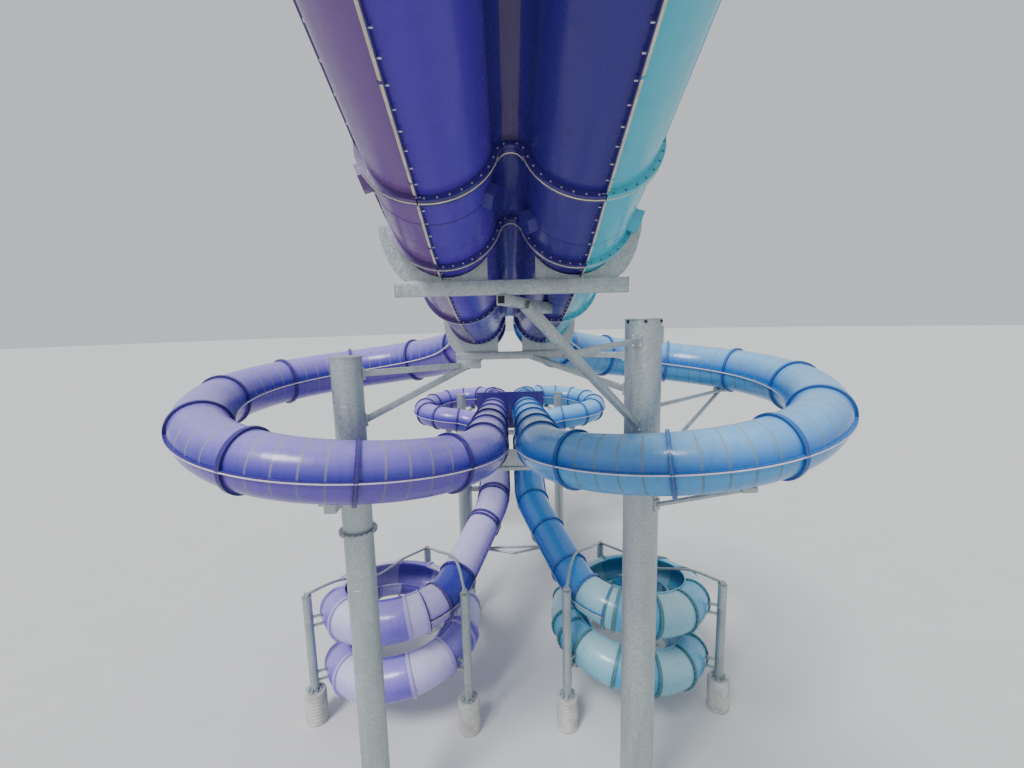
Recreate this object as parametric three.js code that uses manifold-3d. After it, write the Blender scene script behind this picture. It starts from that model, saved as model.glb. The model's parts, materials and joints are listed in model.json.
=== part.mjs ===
// A twin racing tube slide: two mirrored fibreglass flumes on galvanised steel columns.
// Each flume runs down a twin trough, turns a full wide loop, runs on beside its twin, turns a small loop,
// drops through a steep tube and ends in an open-sided helix with a short run-out.
// Millimetres, +Z up, the ground at z = 0. X is across the pair and Y is the way the riders first travel.
import * as THREE from "three";
import { mergeVertices } from "three/addons/utils/BufferGeometryUtils.js";
import Module from "manifold-3d";

const wasm = await Module();
wasm.setup();

// Fibreglass
const GAP = 0.3; // space kept between neighbouring solids
const TUBE_R = 710; // outside radius of a tube
const SHELL = 25; // wall of a shell, ribs and lay-up included
const LIP = 70; // how far a bolting flange stands out
const LIP_T = 25; // thickness of one bolting flange
const LIP_SET = 2; // how far a bolting flange is set back from the end of its shell
const SEAM_T = 16; // thickness of a lengthwise seam flange
const OPEN_R = 750; // outside radius of the open helix flume

// Plan of the left flume; the right one is its mirror image
const TWIN_X = 880; // tube centre from the middle plane
const TOP_Y = -3400; // upper end of the twin trough
const JOINTS = [0, 2600, 5200, 8340, 9660, 12160, 15730]; // distances of the trough's joints
const LOOP1_Y = 13400;
const LOOP1_R = 3800;
const LOOP2_Y = 30500;
const LOOP2_R = 2400;
const HELIX_X = -4650;
const HELIX_Y = 17600;
const HELIX_R = 2400;
const HELIX_TURN = 540; // degrees, counted from the helix's inner side
const ENTRY_TURN = 20; // degrees of that which the slanted drop tube saves
const DROP_BEND_R = 5000;
const HOOD_TURN = 40; // degrees of helix that are still a closed tube
const RUN_OUT = 2500;

// Heights of the tube centre at named places
const Z_JOINTS = [19850, 19350, 18650, 17310, 16720, 16010, 15450]; // each joint of the trough
const Z_FIRST_BEND = 14250; // an eighth of a turn into the wide loop
const Z_LOOP1 = [15200, 13760, 13150, 12210, 11520]; // each quarter of the wide loop
const Z_LOOP2 = [10000, 9750, 9450, 9150]; // each quarter of the small loop
const Z_DROP_TOP = 8400;
const Z_HELIX = 5100;
const Z_HELIX_FRONT = 4600;
const HELIX_FALL = 2300; // per turn
const Z_RUN_OUT = 1450;

const rad = THREE.MathUtils.degToRad;
const arcLength = (radius, degrees) => radius * rad(degrees);

// Distances along the flume from its upper end
const entrySin = Math.sin(rad(ENTRY_TURN));
const entryCos = Math.cos(rad(ENTRY_TURN));
const slantAll = (-TWIN_X - HELIX_X - HELIX_R * entryCos) / entrySin;
const bendTangent = DROP_BEND_R * Math.tan(rad(ENTRY_TURN / 2));
const slant = slantAll - bendTangent;
const bendY = HELIX_Y - HELIX_R * entrySin + slantAll * entryCos;
const dropY = LOOP2_Y - 2 * LOOP2_R;
const pieces = [
  { run: LOOP1_Y - TOP_Y },
  { radius: LOOP1_R, turn: 360 },
  { run: LOOP2_Y - LOOP1_Y },
  { radius: LOOP2_R, turn: 270 },
  { radius: LOOP2_R, turn: -90 },
  { run: dropY - bendY - bendTangent },
  { radius: DROP_BEND_R, turn: -ENTRY_TURN },
  { run: slant },
  { radius: HELIX_R, turn: ENTRY_TURN - HELIX_TURN },
  { run: RUN_OUT },
];
const ends = [0];
for (const piece of pieces) {
  const length = piece.run ?? arcLength(piece.radius, Math.abs(piece.turn));
  ends.push(ends.at(-1) + length);
}
const [, S_LOOP1, S_RUN2, S_LOOP2, S_BEND, S_DROP, , , S_HELIX, S_RUN_OUT, S_END] = ends;
const S_SPLIT = JOINTS.at(-1);
const S_LOOP1_HALF = S_LOOP1 + arcLength(LOOP1_R, 180);
const S_HOOD = S_HELIX + arcLength(HELIX_R, HOOD_TURN);

const quarter1 = arcLength(LOOP1_R, 90);
const quarter2 = arcLength(LOOP2_R, 90);
const helixFront = S_HELIX + arcLength(HELIX_R, 90 - ENTRY_TURN);
const heights = [
  ...JOINTS.map((s, i) => [s, Z_JOINTS[i]]),
  [S_LOOP1, Z_LOOP1[0]],
  [S_LOOP1 + quarter1 / 2, Z_FIRST_BEND],
  ...Z_LOOP1.slice(1).map((z, i) => [S_LOOP1 + (i + 1) * quarter1, z]),
  ...Z_LOOP2.map((z, i) => [S_LOOP2 + i * quarter2, z]),
  [S_DROP, Z_DROP_TOP],
  [S_HELIX, Z_HELIX],
  [helixFront, Z_HELIX_FRONT],
  [S_RUN_OUT, Z_HELIX_FRONT - (HELIX_FALL * (HELIX_TURN - 90)) / 360],
  [S_END, Z_RUN_OUT],
];

// Height of the tube centre at a distance: a smooth curve through the heights above.
function slopeAt(i) {
  const before = heights[Math.max(i - 1, 0)];
  const after = heights[Math.min(i + 1, heights.length - 1)];
  return (after[1] - before[1]) / (after[0] - before[0]);
}
function heightAt(distance) {
  const s = THREE.MathUtils.clamp(distance, 0, S_END);
  let i = heights.findIndex(([station]) => station > s) - 1;
  if (i < 0) i = heights.length - 2;
  const [s0, z0] = heights[i];
  const [s1, z1] = heights[i + 1];
  const length = s1 - s0;
  const t = (s - s0) / length;
  const rise0 = slopeAt(i) * length;
  const rise1 = slopeAt(i + 1) * length;
  const bend = t * t * (3 - 2 * t);
  return z0 + (z1 - z0) * bend + rise0 * t * (1 - t) ** 2 - rise1 * t * t * (1 - t);
}

// Place and heading in plan of the left flume's centre at a distance.
function planAt(distance) {
  let x = -TWIN_X;
  let y = TOP_Y;
  let heading = Math.PI / 2;
  let left = distance;
  for (const [i, piece] of pieces.entries()) {
    const length = ends[i + 1] - ends[i];
    const use = i === pieces.length - 1 ? left : Math.min(left, length);
    if (piece.run !== undefined) {
      x += use * Math.cos(heading);
      y += use * Math.sin(heading);
    } else {
      const way = Math.sign(piece.turn);
      const swing = (way * use) / piece.radius;
      const hubX = x - way * piece.radius * Math.sin(heading);
      const hubY = y + way * piece.radius * Math.cos(heading);
      heading += swing;
      x = hubX + way * piece.radius * Math.sin(heading);
      y = hubY - way * piece.radius * Math.cos(heading);
    }
    left -= use;
    if (left <= 0) break;
  }
  return { x, y, heading };
}

// A stretch of a flume's centre as a curve with level frames: a section's x points to the riders' left and
// its y points up. Its side is 1 for the left flume, -1 for the right one and 0 for the plane between them.
const spaced = (from, to, steps) =>
  Array.from({ length: steps + 1 }, (_, i) => from + ((to - from) * i) / steps);
class Stretch extends THREE.Curve {
  constructor(stations, side = 1) {
    super();
    Object.assign(this, { stations, side, steps: stations.length - 1 });
  }
  distance(t) {
    const i = Math.min(Math.floor(t * this.steps + 1e-6), this.steps - 1);
    return this.stations[i] + (t * this.steps - i) * (this.stations[i + 1] - this.stations[i]);
  }
  getPoint(t, target = new THREE.Vector3()) {
    const s = this.distance(t);
    const { x, y } = planAt(s);
    return target.set(this.side * x, y, heightAt(s));
  }
  getSpacedPoints(steps) {
    return Array.from({ length: steps + 1 }, (_, i) => this.getPoint(i / steps));
  }
  computeFrenetFrames(steps) {
    const frames = { tangents: [], normals: [], binormals: [] };
    for (let i = 0; i <= steps; i++) {
      const s = this.distance(i / steps);
      const { heading } = planAt(s);
      const before = Math.max(s - 1, 0);
      const after = Math.min(s + 1, S_END);
      const rise = (heightAt(after) - heightAt(before)) / (after - before);
      const tangent = new THREE.Vector3(this.side * Math.cos(heading), Math.sin(heading), rise).normalize();
      const normal = new THREE.Vector3(-tangent.y, tangent.x, 0).normalize();
      frames.tangents.push(tangent);
      frames.normals.push(normal);
      frames.binormals.push(tangent.clone().cross(normal));
    }
    return frames;
  }
}

// Shapes and solids
function bareOf(geometry) {
  const bare = geometry.clone();
  for (const name of Object.keys(bare.attributes)) {
    if (name !== "position") bare.deleteAttribute(name);
  }
  return bare;
}
function solidOf(geometry) {
  const merged = mergeVertices(bareOf(geometry), 1e-3);
  const vertProperties = new Float32Array(merged.attributes.position.array);
  const triVerts = new Uint32Array(merged.index.array);
  return new wasm.Manifold(new wasm.Mesh({ numProp: 3, vertProperties, triVerts }));
}
function geometryOf(solid) {
  const mesh = solid.getMesh();
  const geometry = new THREE.BufferGeometry();
  geometry.setAttribute("position", new THREE.BufferAttribute(mesh.vertProperties, 3));
  geometry.setIndex(new THREE.BufferAttribute(mesh.triVerts, 1));
  const flat = geometry.toNonIndexed();
  flat.computeVertexNormals();
  return flat;
}
function mirrored(solid) {
  const geometry = mergeVertices(bareOf(geometryOf(solid)), 1e-3);
  geometry.scale(-1, 1, 1);
  geometry.index.array.reverse();
  return solidOf(geometry);
}
const fuse = (parts) => parts.reduce((all, part) => all.add(part));
const cut = (solid, tools) => tools.reduce((rest, tool) => rest.subtract(tool), solid);

function arc(cx, radius, fromDeg, toDeg, steps) {
  return Array.from({ length: steps + 1 }, (_, i) => {
    const a = rad(fromDeg + ((toDeg - fromDeg) * i) / steps);
    return new THREE.Vector2(cx + radius * Math.cos(a), radius * Math.sin(a));
  });
}
const at = (x, y) => new THREE.Vector2(x, y);

// A closed section swept along a stretch.
function sweep(points, stretch) {
  const settings = { steps: stretch.steps, extrudePath: stretch };
  return solidOf(new THREE.ExtrudeGeometry(new THREE.Shape(points), settings));
}

// One half of a tube with its two seam flanges; half is 1 for the upper shell and -1 for the lower one.
function halfSection(half, radius, steps) {
  const face = GAP / 2;
  const tuck = THREE.MathUtils.radToDeg(Math.asin((face + SEAM_T) / radius));
  const inner = THREE.MathUtils.radToDeg(Math.asin(face / (radius - SHELL)));
  const outline = [
    at(radius + LIP, face),
    at(radius + LIP, face + SEAM_T),
    ...arc(0, radius, tuck, 180 - tuck, steps),
    at(-radius - LIP, face + SEAM_T),
    at(-radius - LIP, face),
    ...arc(0, radius - SHELL, 180 - inner, inner, steps),
  ];
  return outline.map((p) => at(p.x, half * p.y));
}
function halfRing(half, radius, steps) {
  const face = LIP_SET;
  const low = (r) => THREE.MathUtils.radToDeg(Math.asin(face / r));
  const outer = radius + LIP;
  const inner = radius - SHELL / 2;
  const outline = [
    ...arc(0, outer, low(outer), 180 - low(outer), steps),
    ...arc(0, inner, 180 - low(inner), low(inner), steps),
  ];
  return outline.map((p) => at(p.x, half * p.y));
}

// A bolting flange at each end of a stretch.
function endLips(section, start, stop, side = 1) {
  const lipFrom = (s) => sweep(section, new Stretch([s, s + LIP_T], side));
  return [lipFrom(start + LIP_SET), lipFrom(stop - LIP_SET - LIP_T)];
}

// The stations of a solid end a little inside the places where it meets its neighbours.
function inset(stations) {
  const list = [...stations];
  list[0] += GAP / 2;
  list[list.length - 1] -= GAP / 2;
  return list;
}

// A half shell of a tube, with a bolting flange at each end.
function halfShell(half, stations, sides, side = 1) {
  const list = inset(stations);
  const shell = sweep(halfSection(half, TUBE_R, sides), new Stretch(list, side));
  return fuse([shell, ...endLips(halfRing(half, TUBE_R, sides), list[0], list.at(-1), side)]);
}

// A whole round tube, open at both ends.
function pipeSolid(stations, radius, sides) {
  return sweep(arc(0, radius, 0, 360 - 360 / sides, sides - 1), new Stretch(stations));
}
function roundTube(stations, sides) {
  const list = inset(stations);
  const longer = [2 * list[0] - list[1], ...list, 2 * list.at(-1) - list.at(-2)];
  return cut(pipeSolid(list, TUBE_R, sides), [pipeSolid(longer, TUBE_R - SHELL, sides)]);
}

// The helix flume: a round section with a long opening towards the hub, high on the outside.
const OPEN_FROM = 78; // degrees above the hub side where the wall starts again
const OPEN_TO = 368; // degrees, just above level on the hub side
const RIM = 60; // rim flange on each edge
const RIM_DEG = 2.3; // what a rim flange takes up of the section
const openEdge = (deg, r) => at(r * Math.cos(rad(deg)), r * Math.sin(rad(deg)));
function openOutline(sides, grow) {
  return [
    openEdge(OPEN_FROM - grow, OPEN_R + RIM + grow),
    openEdge(OPEN_FROM + RIM_DEG, OPEN_R + RIM + grow),
    ...arc(0, OPEN_R + grow, OPEN_FROM + RIM_DEG, OPEN_TO - RIM_DEG, sides),
    openEdge(OPEN_TO - RIM_DEG, OPEN_R + RIM + grow),
    openEdge(OPEN_TO + grow, OPEN_R + RIM + grow),
  ];
}
function openSection(sides) {
  const inside = arc(0, OPEN_R - SHELL, OPEN_TO, OPEN_FROM, sides);
  return [...openOutline(sides, 0), ...inside].map((p) => at(-p.x, p.y));
}
const openFlume = (stations, sides) => sweep(openSection(sides), new Stretch(inset(stations)));

// Steel bars, plates and pipes
function boxAt(x, y, z, w, d, h) {
  const geometry = new THREE.BoxGeometry(w, d, h);
  geometry.translate(x, y, z + h / 2);
  return solidOf(geometry);
}
function postAt(x, y, z, radius, height, sides) {
  const geometry = new THREE.CylinderGeometry(radius, radius, height, sides);
  geometry.rotateX(Math.PI / 2);
  geometry.translate(x, y, z + height / 2);
  return solidOf(geometry);
}
function barBetween(p, q, width, depth) {
  const from = new THREE.Vector3(...p);
  const to = new THREE.Vector3(...q);
  const along = to.clone().sub(from);
  const length = along.length();
  const z = along.normalize();
  const x = new THREE.Vector3(-z.y, z.x, 0).normalize();
  const y = z.clone().cross(x);
  const geometry = new THREE.BoxGeometry(width, depth, length);
  geometry.applyMatrix4(new THREE.Matrix4().makeBasis(x, y, z));
  const middle = from.add(to).multiplyScalar(0.5);
  geometry.translate(middle.x, middle.y, middle.z);
  return solidOf(geometry);
}

// What steel is trimmed against, so that it ends a hair's breadth from what it carries.
const SEAT = 0.6;
const LOOP_SIDES = 6; // flats round a half shell
const TUBE_SIDES = 2 * LOOP_SIDES;
const OPEN_SIDES = 9;
const LOOP1_STEPS = 10; // to half a turn
const LOOP2_STEPS = 12; // to three quarters of a turn
const BEND_STEPS = 4;
const APPROACH_STEPS = 2;
const LONG_RUN_STEPS = 3;
const DROP_STEPS = 7;
const HELIX_STEPS = 7;

const materials = {
  violet: new THREE.MeshStandardMaterial({ color: 0x4a3fae, roughness: 0.25 }),
  deepViolet: new THREE.MeshStandardMaterial({ color: 0x322a7e, roughness: 0.25 }),
  mauve: new THREE.MeshStandardMaterial({ color: 0x5a4778, roughness: 0.3 }),
  lavender: new THREE.MeshStandardMaterial({ color: 0xb9b0e2, roughness: 0.25 }),
  skyBlue: new THREE.MeshStandardMaterial({ color: 0x4d97d2, roughness: 0.25 }),
  deepBlue: new THREE.MeshStandardMaterial({ color: 0x2b6fc0, roughness: 0.25 }),
  aqua: new THREE.MeshStandardMaterial({ color: 0x77b6c8, roughness: 0.25 }),
  turquoise: new THREE.MeshStandardMaterial({ color: 0x69b3bd, roughness: 0.3 }),
  galvanised: new THREE.MeshStandardMaterial({ color: 0xaeb2b3, roughness: 0.45, metalness: 0.85 }),
  concrete: new THREE.MeshStandardMaterial({ color: 0xc3c1bc, roughness: 0.9 }),
};

// The slide's middle plane is x = 0. The right half is a mirrored group.
const slide = new THREE.Group();
const rightHalf = new THREE.Group();
rightHalf.scale.x = -1;
slide.add(rightHalf);
function place(name, solid, material, group = slide) {
  const mesh = new THREE.Mesh(geometryOf(solid), material);
  mesh.name = name;
  group.add(mesh);
}
function placePair(name, solid, leftMaterial, rightMaterial = leftMaterial) {
  place(`left_${name}`, solid, leftMaterial);
  place(`right_${name}`, solid, rightMaterial, rightHalf);
}

// The twin trough: two half-round troughs joined by a flat web, in three shells, and a cover on each.
const SEAM_DEG = 84; // where an outer shell meets the middle one, below level
const TROUGH_SIDES = 6;
const OUTER_SIDES = 4;
const MIDDLE_SIDES = 5;
const LIP_DEPTH = 10; // how far a lip's foot reaches into its shell
const WEB_LIP_DEG = 30; // where the middle shell's lip dies out by the web
const SLIVER_DEG = 0.1; // keeps a lip's ends clear of the next shell
const trough = new Stretch(inset(JOINTS), 0);
const troughLips = (section) => endLips(section, GAP / 2, S_SPLIT - GAP / 2, 0);
const troughArc = (radius, from, to, sides) => arc(TWIN_X, radius, from, to, sides);
const bandSection = (outer, inner, from, to, sides) => [
  ...troughArc(outer, from, to, sides),
  ...troughArc(inner, to, from, sides),
];
{
  // Angles run from level on the outer side of the left trough, which is the section's +x side.
  const face = GAP / 2;
  const inner = TUBE_R - SHELL;
  const outline = [
    at(TWIN_X + TUBE_R + LIP, -face),
    at(TWIN_X + TUBE_R + LIP, -face - SEAM_T),
    ...troughArc(TUBE_R, -2, -SEAM_DEG, OUTER_SIDES),
    ...troughArc(inner, -SEAM_DEG, -SLIVER_DEG, OUTER_SIDES),
  ];
  const band = bandSection(TUBE_R + LIP, TUBE_R - LIP_DEPTH, -2, 2 - SEAM_DEG, OUTER_SIDES);
  const shell = fuse([sweep(outline, trough), ...troughLips(band)]);
  placePair("trough_outer_shell", shell, materials.mauve, materials.turquoise);

  const cover = [
    at(TWIN_X + TUBE_R + LIP, face),
    at(TWIN_X + TUBE_R + LIP, face + SEAM_T),
    ...troughArc(TUBE_R, 2, 178, TROUGH_SIDES),
    at(face, face + SEAM_T),
    at(face, face),
    ...troughArc(inner, 180 - SLIVER_DEG, SLIVER_DEG, TROUGH_SIDES),
  ];
  const coverBand = bandSection(TUBE_R + LIP, TUBE_R - LIP_DEPTH, 2, 178, TROUGH_SIDES);
  const trimmed = coverBand.map((p) => at(Math.max(p.x, LIP_SET), p.y));
  const lid = fuse([sweep(cover, trough), ...troughLips(trimmed)]);
  placePair("trough_cover", lid, materials.violet, materials.skyBlue);
}
{
  const from = -SEAM_DEG - SLIVER_DEG;
  const outerArc = troughArc(TUBE_R, from, -178, MIDDLE_SIDES);
  const innerArc = troughArc(TUBE_R - SHELL, -180 + SLIVER_DEG, from, MIDDLE_SIDES);
  const flip = (list) => list.map((p) => at(-p.x, p.y)).reverse();
  const outline = [...outerArc, ...flip(outerArc), ...flip(innerArc), ...innerArc];
  const reach = -180 + WEB_LIP_DEG;
  const band = bandSection(TUBE_R + LIP, TUBE_R - LIP_DEPTH, from - 2, reach, MIDDLE_SIDES);
  const lips = [...troughLips(band), ...troughLips(band.map((p) => at(-p.x, p.y)))];
  place("trough_middle_shell", fuse([sweep(outline, trough), ...lips]), materials.deepViolet);
}

// The closed tubes of both flumes
const wideStations = spaced(S_LOOP1, S_LOOP1_HALF, LOOP1_STEPS);
const firstStations = [...spaced(S_SPLIT, S_LOOP1, APPROACH_STEPS), ...wideStations.slice(1)];
const secondStations = spaced(S_LOOP1_HALF, S_RUN2, LOOP1_STEPS);
const longStations = spaced(S_RUN2, S_LOOP2, LONG_RUN_STEPS);
const smallStations = spaced(S_LOOP2, S_BEND, LOOP2_STEPS);
const dropStations = [...spaced(S_BEND, S_DROP, BEND_STEPS), ...spaced(S_DROP, S_HOOD, DROP_STEPS).slice(1)];
for (const [half, level] of [
  [1, "upper"],
  [-1, "lower"],
]) {
  const shellOf = (stations) => halfShell(half, stations, LOOP_SIDES);
  // Two shells swept round a left turn leave a hair's gap along their seam, and round a right turn they
  // would overlap. The left drop turns right, so it is the mirror image of the right one.
  const dropShell = mirrored(halfShell(half, dropStations, LOOP_SIDES, -1));
  placePair(`wide_loop_first_${level}_shell`, shellOf(firstStations), materials.violet, materials.skyBlue);
  placePair(`wide_loop_second_${level}_shell`, shellOf(secondStations), materials.violet, materials.skyBlue);
  placePair(`small_loop_${level}_shell`, shellOf(smallStations), materials.violet, materials.skyBlue);
  placePair(`drop_${level}_shell`, dropShell, materials.lavender, materials.deepBlue);
}
placePair("long_run_tube", roundTube(longStations, TUBE_SIDES), materials.violet, materials.skyBlue);

// The open helix, in three flumes; the lowest one runs out straight.
const third = (S_RUN_OUT - S_HOOD) / 3;
const helixParts = [0, 1, 2].map((i) => spaced(S_HOOD + i * third, S_HOOD + (i + 1) * third, HELIX_STEPS));
helixParts[2].push(S_END);
for (const [i, word] of ["upper", "middle", "lower"].entries()) {
  const flume = openFlume(helixParts[i], OPEN_SIDES);
  placePair(`helix_${word}_flume`, flume, materials.lavender, materials.aqua);
}

// Steelwork. Tools a little larger than the tubes trim what carries them.
const both = (solid) => [solid, mirrored(solid)];
const SEAT_R = TUBE_R + SEAT;
const troughSeat = sweep(
  [
    at(TWIN_X + SEAT_R, 0),
    ...troughArc(SEAT_R, -2, -SEAM_DEG, OUTER_SIDES),
    ...troughArc(SEAT_R, -SEAM_DEG - SLIVER_DEG, -178, MIDDLE_SIDES),
    at(TWIN_X - SEAT_R, 0),
  ],
  trough,
);
const shellSeat = (stations, side = 1) => {
  const tuck = THREE.MathUtils.radToDeg(Math.asin((GAP / 2 + SEAM_T) / TUBE_R));
  const above = arc(0, SEAT_R, tuck, 180 - tuck, LOOP_SIDES);
  const below = arc(0, SEAT_R, 180 + tuck, 360 - tuck, LOOP_SIDES);
  return sweep([...above, ...below], new Stretch(inset(stations), side));
};
const loopSeats = [shellSeat(firstStations), shellSeat(secondStations)];
const longSeat = pipeSolid(inset(longStations), SEAT_R, TUBE_SIDES);
const smallSeat = shellSeat(smallStations);
const dropSeat = mirrored(shellSeat(dropStations, -1));
const bottomAt = (s) => heightAt(s) - TUBE_R;
const troughS = (y) => y - TOP_Y;

// Columns: a base plate with gussets, the pipe, a bolted splice and a cap.
const COLUMN_SIDES = 20;
const BASE_T = 50;
const BASE_LEDGE = 240;
const GUSSET = 300;
const SPLICE_LEDGE = 110;
const SPLICE_T = 60;
const CAP_T = 20;
function column({ x, y, radius, top, splice }) {
  const parts = [
    boxAt(x, y, 0, 2 * (radius + BASE_LEDGE), 2 * (radius + BASE_LEDGE), BASE_T),
    boxAt(x, y, BASE_T - 1, 2 * (radius + BASE_LEDGE * 0.8), SPLICE_T / 2, GUSSET),
    boxAt(x, y, BASE_T - 1, SPLICE_T / 2, 2 * (radius + BASE_LEDGE * 0.8), GUSSET),
    postAt(x, y, BASE_T / 2, radius, top - CAP_T - BASE_T / 2, COLUMN_SIDES),
    postAt(x, y, top - CAP_T - 1, radius + CAP_T, CAP_T + 1, COLUMN_SIDES),
  ];
  if (splice) {
    parts.push(postAt(x, y, splice - SPLICE_T / 2, radius + SPLICE_LEDGE, SPLICE_T, COLUMN_SIDES));
  }
  return fuse(parts);
}
const columnSeat = ({ x, y, radius, top }) =>
  postAt(x, y, 0, radius + SEAT, top + BASE_T, COLUMN_SIDES);
const leftColumn = { x: -4080, y: 11290, radius: 381, top: 14520, splice: 9300 };
const rightColumn = { x: 3350, y: 11500, radius: 457, top: 15270, splice: 8600 };

// A crossbeam with a saddle plate on it at each side: upright by the middle, rounded outside, scalloped
// round the tube and ending just under its seam.
const BEAM = 200;
const SADDLE_T = 40;
const SADDLE_FROM = 330; // inner edge of a saddle plate
const SADDLE_REACH = 1790;
const SADDLE_TOP = 45; // how far under the tube's centre a saddle plate ends
const SADDLE_DIP = 1; // what a plate reaches into its beam
function crossbeam(y, s, halfLength, seats, lift) {
  const top = bottomAt(s) - lift;
  const height = lift + TUBE_R - SADDLE_TOP;
  const outline = [
    at(SADDLE_FROM, -SADDLE_DIP),
    at(1460, -SADDLE_DIP),
    at(1620, 170),
    at(1720, 380),
    at(SADDLE_REACH, height - 120),
    at(SADDLE_REACH, height),
    at(SADDLE_FROM, height),
  ];
  const plate = new THREE.ExtrudeGeometry(new THREE.Shape(outline), { depth: SADDLE_T, bevelEnabled: false });
  plate.rotateX(Math.PI / 2);
  plate.translate(0, y + SADDLE_T / 2, top);
  const plates = both(solidOf(plate)).map((solid) => cut(solid, seats));
  return { top, solid: fuse([boxAt(0, y, top - BEAM, 2 * halfLength, BEAM, BEAM), ...plates]) };
}
const ARM = 150;
const LEVEL_BAR = 120;
const columnArm = (from, { x, y }, z) => barBetween(from, [x, y, z], ARM, ARM);

// The front crossbeam rests on a short box arm that points to the right column, held by a long brace and
// a level bar from that column.
const FRONT_Y = 6440;
const front = crossbeam(FRONT_Y, troughS(FRONT_Y), 1600, both(troughSeat), 90);
const frontUnder = front.top - BEAM;
const braceFrom = [200, FRONT_Y + 450, frontUnder - 130];
const braceTo = [rightColumn.x, rightColumn.y, 12400];
const barFrom = new THREE.Vector3(...braceFrom).lerp(new THREE.Vector3(...braceTo), 0.27).toArray();
const frontFrame = fuse([
  front.solid,
  barBetween([-150, FRONT_Y - 130, frontUnder - 70], [590, FRONT_Y + 1350, frontUnder - 150], ARM, ARM),
  barBetween(braceFrom, braceTo, ARM, ARM),
  barBetween(barFrom, [rightColumn.x, rightColumn.y, 14750], LEVEL_BAR, LEVEL_BAR),
]);
place("front_crossbeam", cut(frontFrame, [columnSeat(rightColumn)]), materials.galvanised);

// The second crossbeam runs on to the right column, and bars and braces tie it to both columns.
const SECOND_Y = 12600;
const second = crossbeam(SECOND_Y, troughS(SECOND_Y), 1500, both(loopSeats[0]), 240);
const secondUnder = second.top - BEAM;
const secondFrame = fuse([
  second.solid,
  boxAt(-1150, SECOND_Y, secondUnder - 240, 660, BEAM, 241),
  columnArm([1400, SECOND_Y, second.top - BEAM / 2], rightColumn, second.top - BEAM / 2),
  columnArm([-1300, SECOND_Y, secondUnder - 150], leftColumn, 14060),
  columnArm([-1250, SECOND_Y, secondUnder - 200], leftColumn, 12720),
  columnArm([560, SECOND_Y, secondUnder + 60], rightColumn, 13330),
]);
const secondTools = [columnSeat(leftColumn), columnSeat(rightColumn)];
place("second_crossbeam", cut(secondFrame, secondTools), materials.galvanised);

// The left column carries the near side of its loop on a short box bracket.
const NEAR_S = S_LOOP1 + arcLength(LOOP1_R, 270);
const nearY = LOOP1_Y - LOOP1_R;
const nearSeat = loopSeats[1];
const leftBracket = fuse([
  boxAt(leftColumn.x, (nearY + leftColumn.y) / 2, bottomAt(NEAR_S) - 330, 260, leftColumn.y - nearY, 220),
  boxAt(leftColumn.x, nearY + 60, bottomAt(NEAR_S) - 120, 420, 300, 260),
]);
const leftColumnSolid = fuse([column(leftColumn), cut(leftBracket, [nearSeat])]);
place("left_front_column", leftColumnSolid, materials.galvanised);
place("right_front_column", column(rightColumn), materials.galvanised);

// The right column reaches both sides of its loop with pipes.
const STRUT_W = 130;
function padUnder(s, side, seat, size = 340) {
  const { x, y } = planAt(s);
  const pad = boxAt(side * x, y, bottomAt(s) - 120, size, size, 260);
  return cut(pad, [seat]);
}
const rightLoopSeats = loopSeats.map(mirrored);
const FAR_S = S_LOOP1 + arcLength(LOOP1_R, 137);
const farPoint = planAt(FAR_S);
const farEnd = [-farPoint.x, farPoint.y, bottomAt(FAR_S) - 90];
const farArm = fuse([
  padUnder(FAR_S, -1, rightLoopSeats[0]),
  barBetween(farEnd, [rightColumn.x, rightColumn.y, 12950], STRUT_W, STRUT_W),
  barBetween(farEnd, [rightColumn.x, rightColumn.y, 11100], LEVEL_BAR, LEVEL_BAR),
]);
place("right_loop_far_arm", cut(farArm, [columnSeat(rightColumn)]), materials.galvanised);
const STRUT_S = S_LOOP1 + arcLength(LOOP1_R, 263);
const strutPoint = planAt(STRUT_S);
const strutEnd = [-strutPoint.x, strutPoint.y, bottomAt(STRUT_S) - 90];
const nearStrut = fuse([
  padUnder(STRUT_S, -1, rightLoopSeats[1]),
  barBetween(strutEnd, [rightColumn.x, rightColumn.y, 10300], STRUT_W, STRUT_W),
]);
place("right_loop_near_strut", cut(nearStrut, [columnSeat(rightColumn)]), materials.galvanised);

// A T-headed support under the upper end of the trough, and one under the long run.
const HEAD_Y = -2450;
const head = crossbeam(HEAD_Y, troughS(HEAD_Y), 1500, both(troughSeat), 90);
const headColumn = column({ x: 0, y: HEAD_Y, radius: 381, top: head.top - BEAM + 1, splice: 9000 });
place("head_support", fuse([head.solid, headColumn]), materials.galvanised);

const REAR = { x: -2400, y: 22200, radius: 350 };
const rearS = S_RUN2 + REAR.y - LOOP1_Y;
const REAR_DROP_S = S_DROP + dropY - REAR.y; // where the drop passes the rear column
const rear = crossbeam(REAR.y, rearS, 2700, both(longSeat), 150);
const rearColumn = column({ ...REAR, top: rear.top - BEAM + 1 });
const rearBrace = barBetween([REAR.x, REAR.y, 8400], [-150, REAR.y, rear.top - BEAM / 2], ARM, ARM);
const dropBracket = boxAt(REAR.x + 700, REAR.y, heightAt(REAR_DROP_S) - 400, 900, 160, 220);
const rearSolid = fuse([rear.solid, rearColumn, rearBrace, cut(dropBracket, [dropSeat])]);
place("rear_support", cut(rearSolid, [dropSeat]), materials.galvanised);

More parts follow.
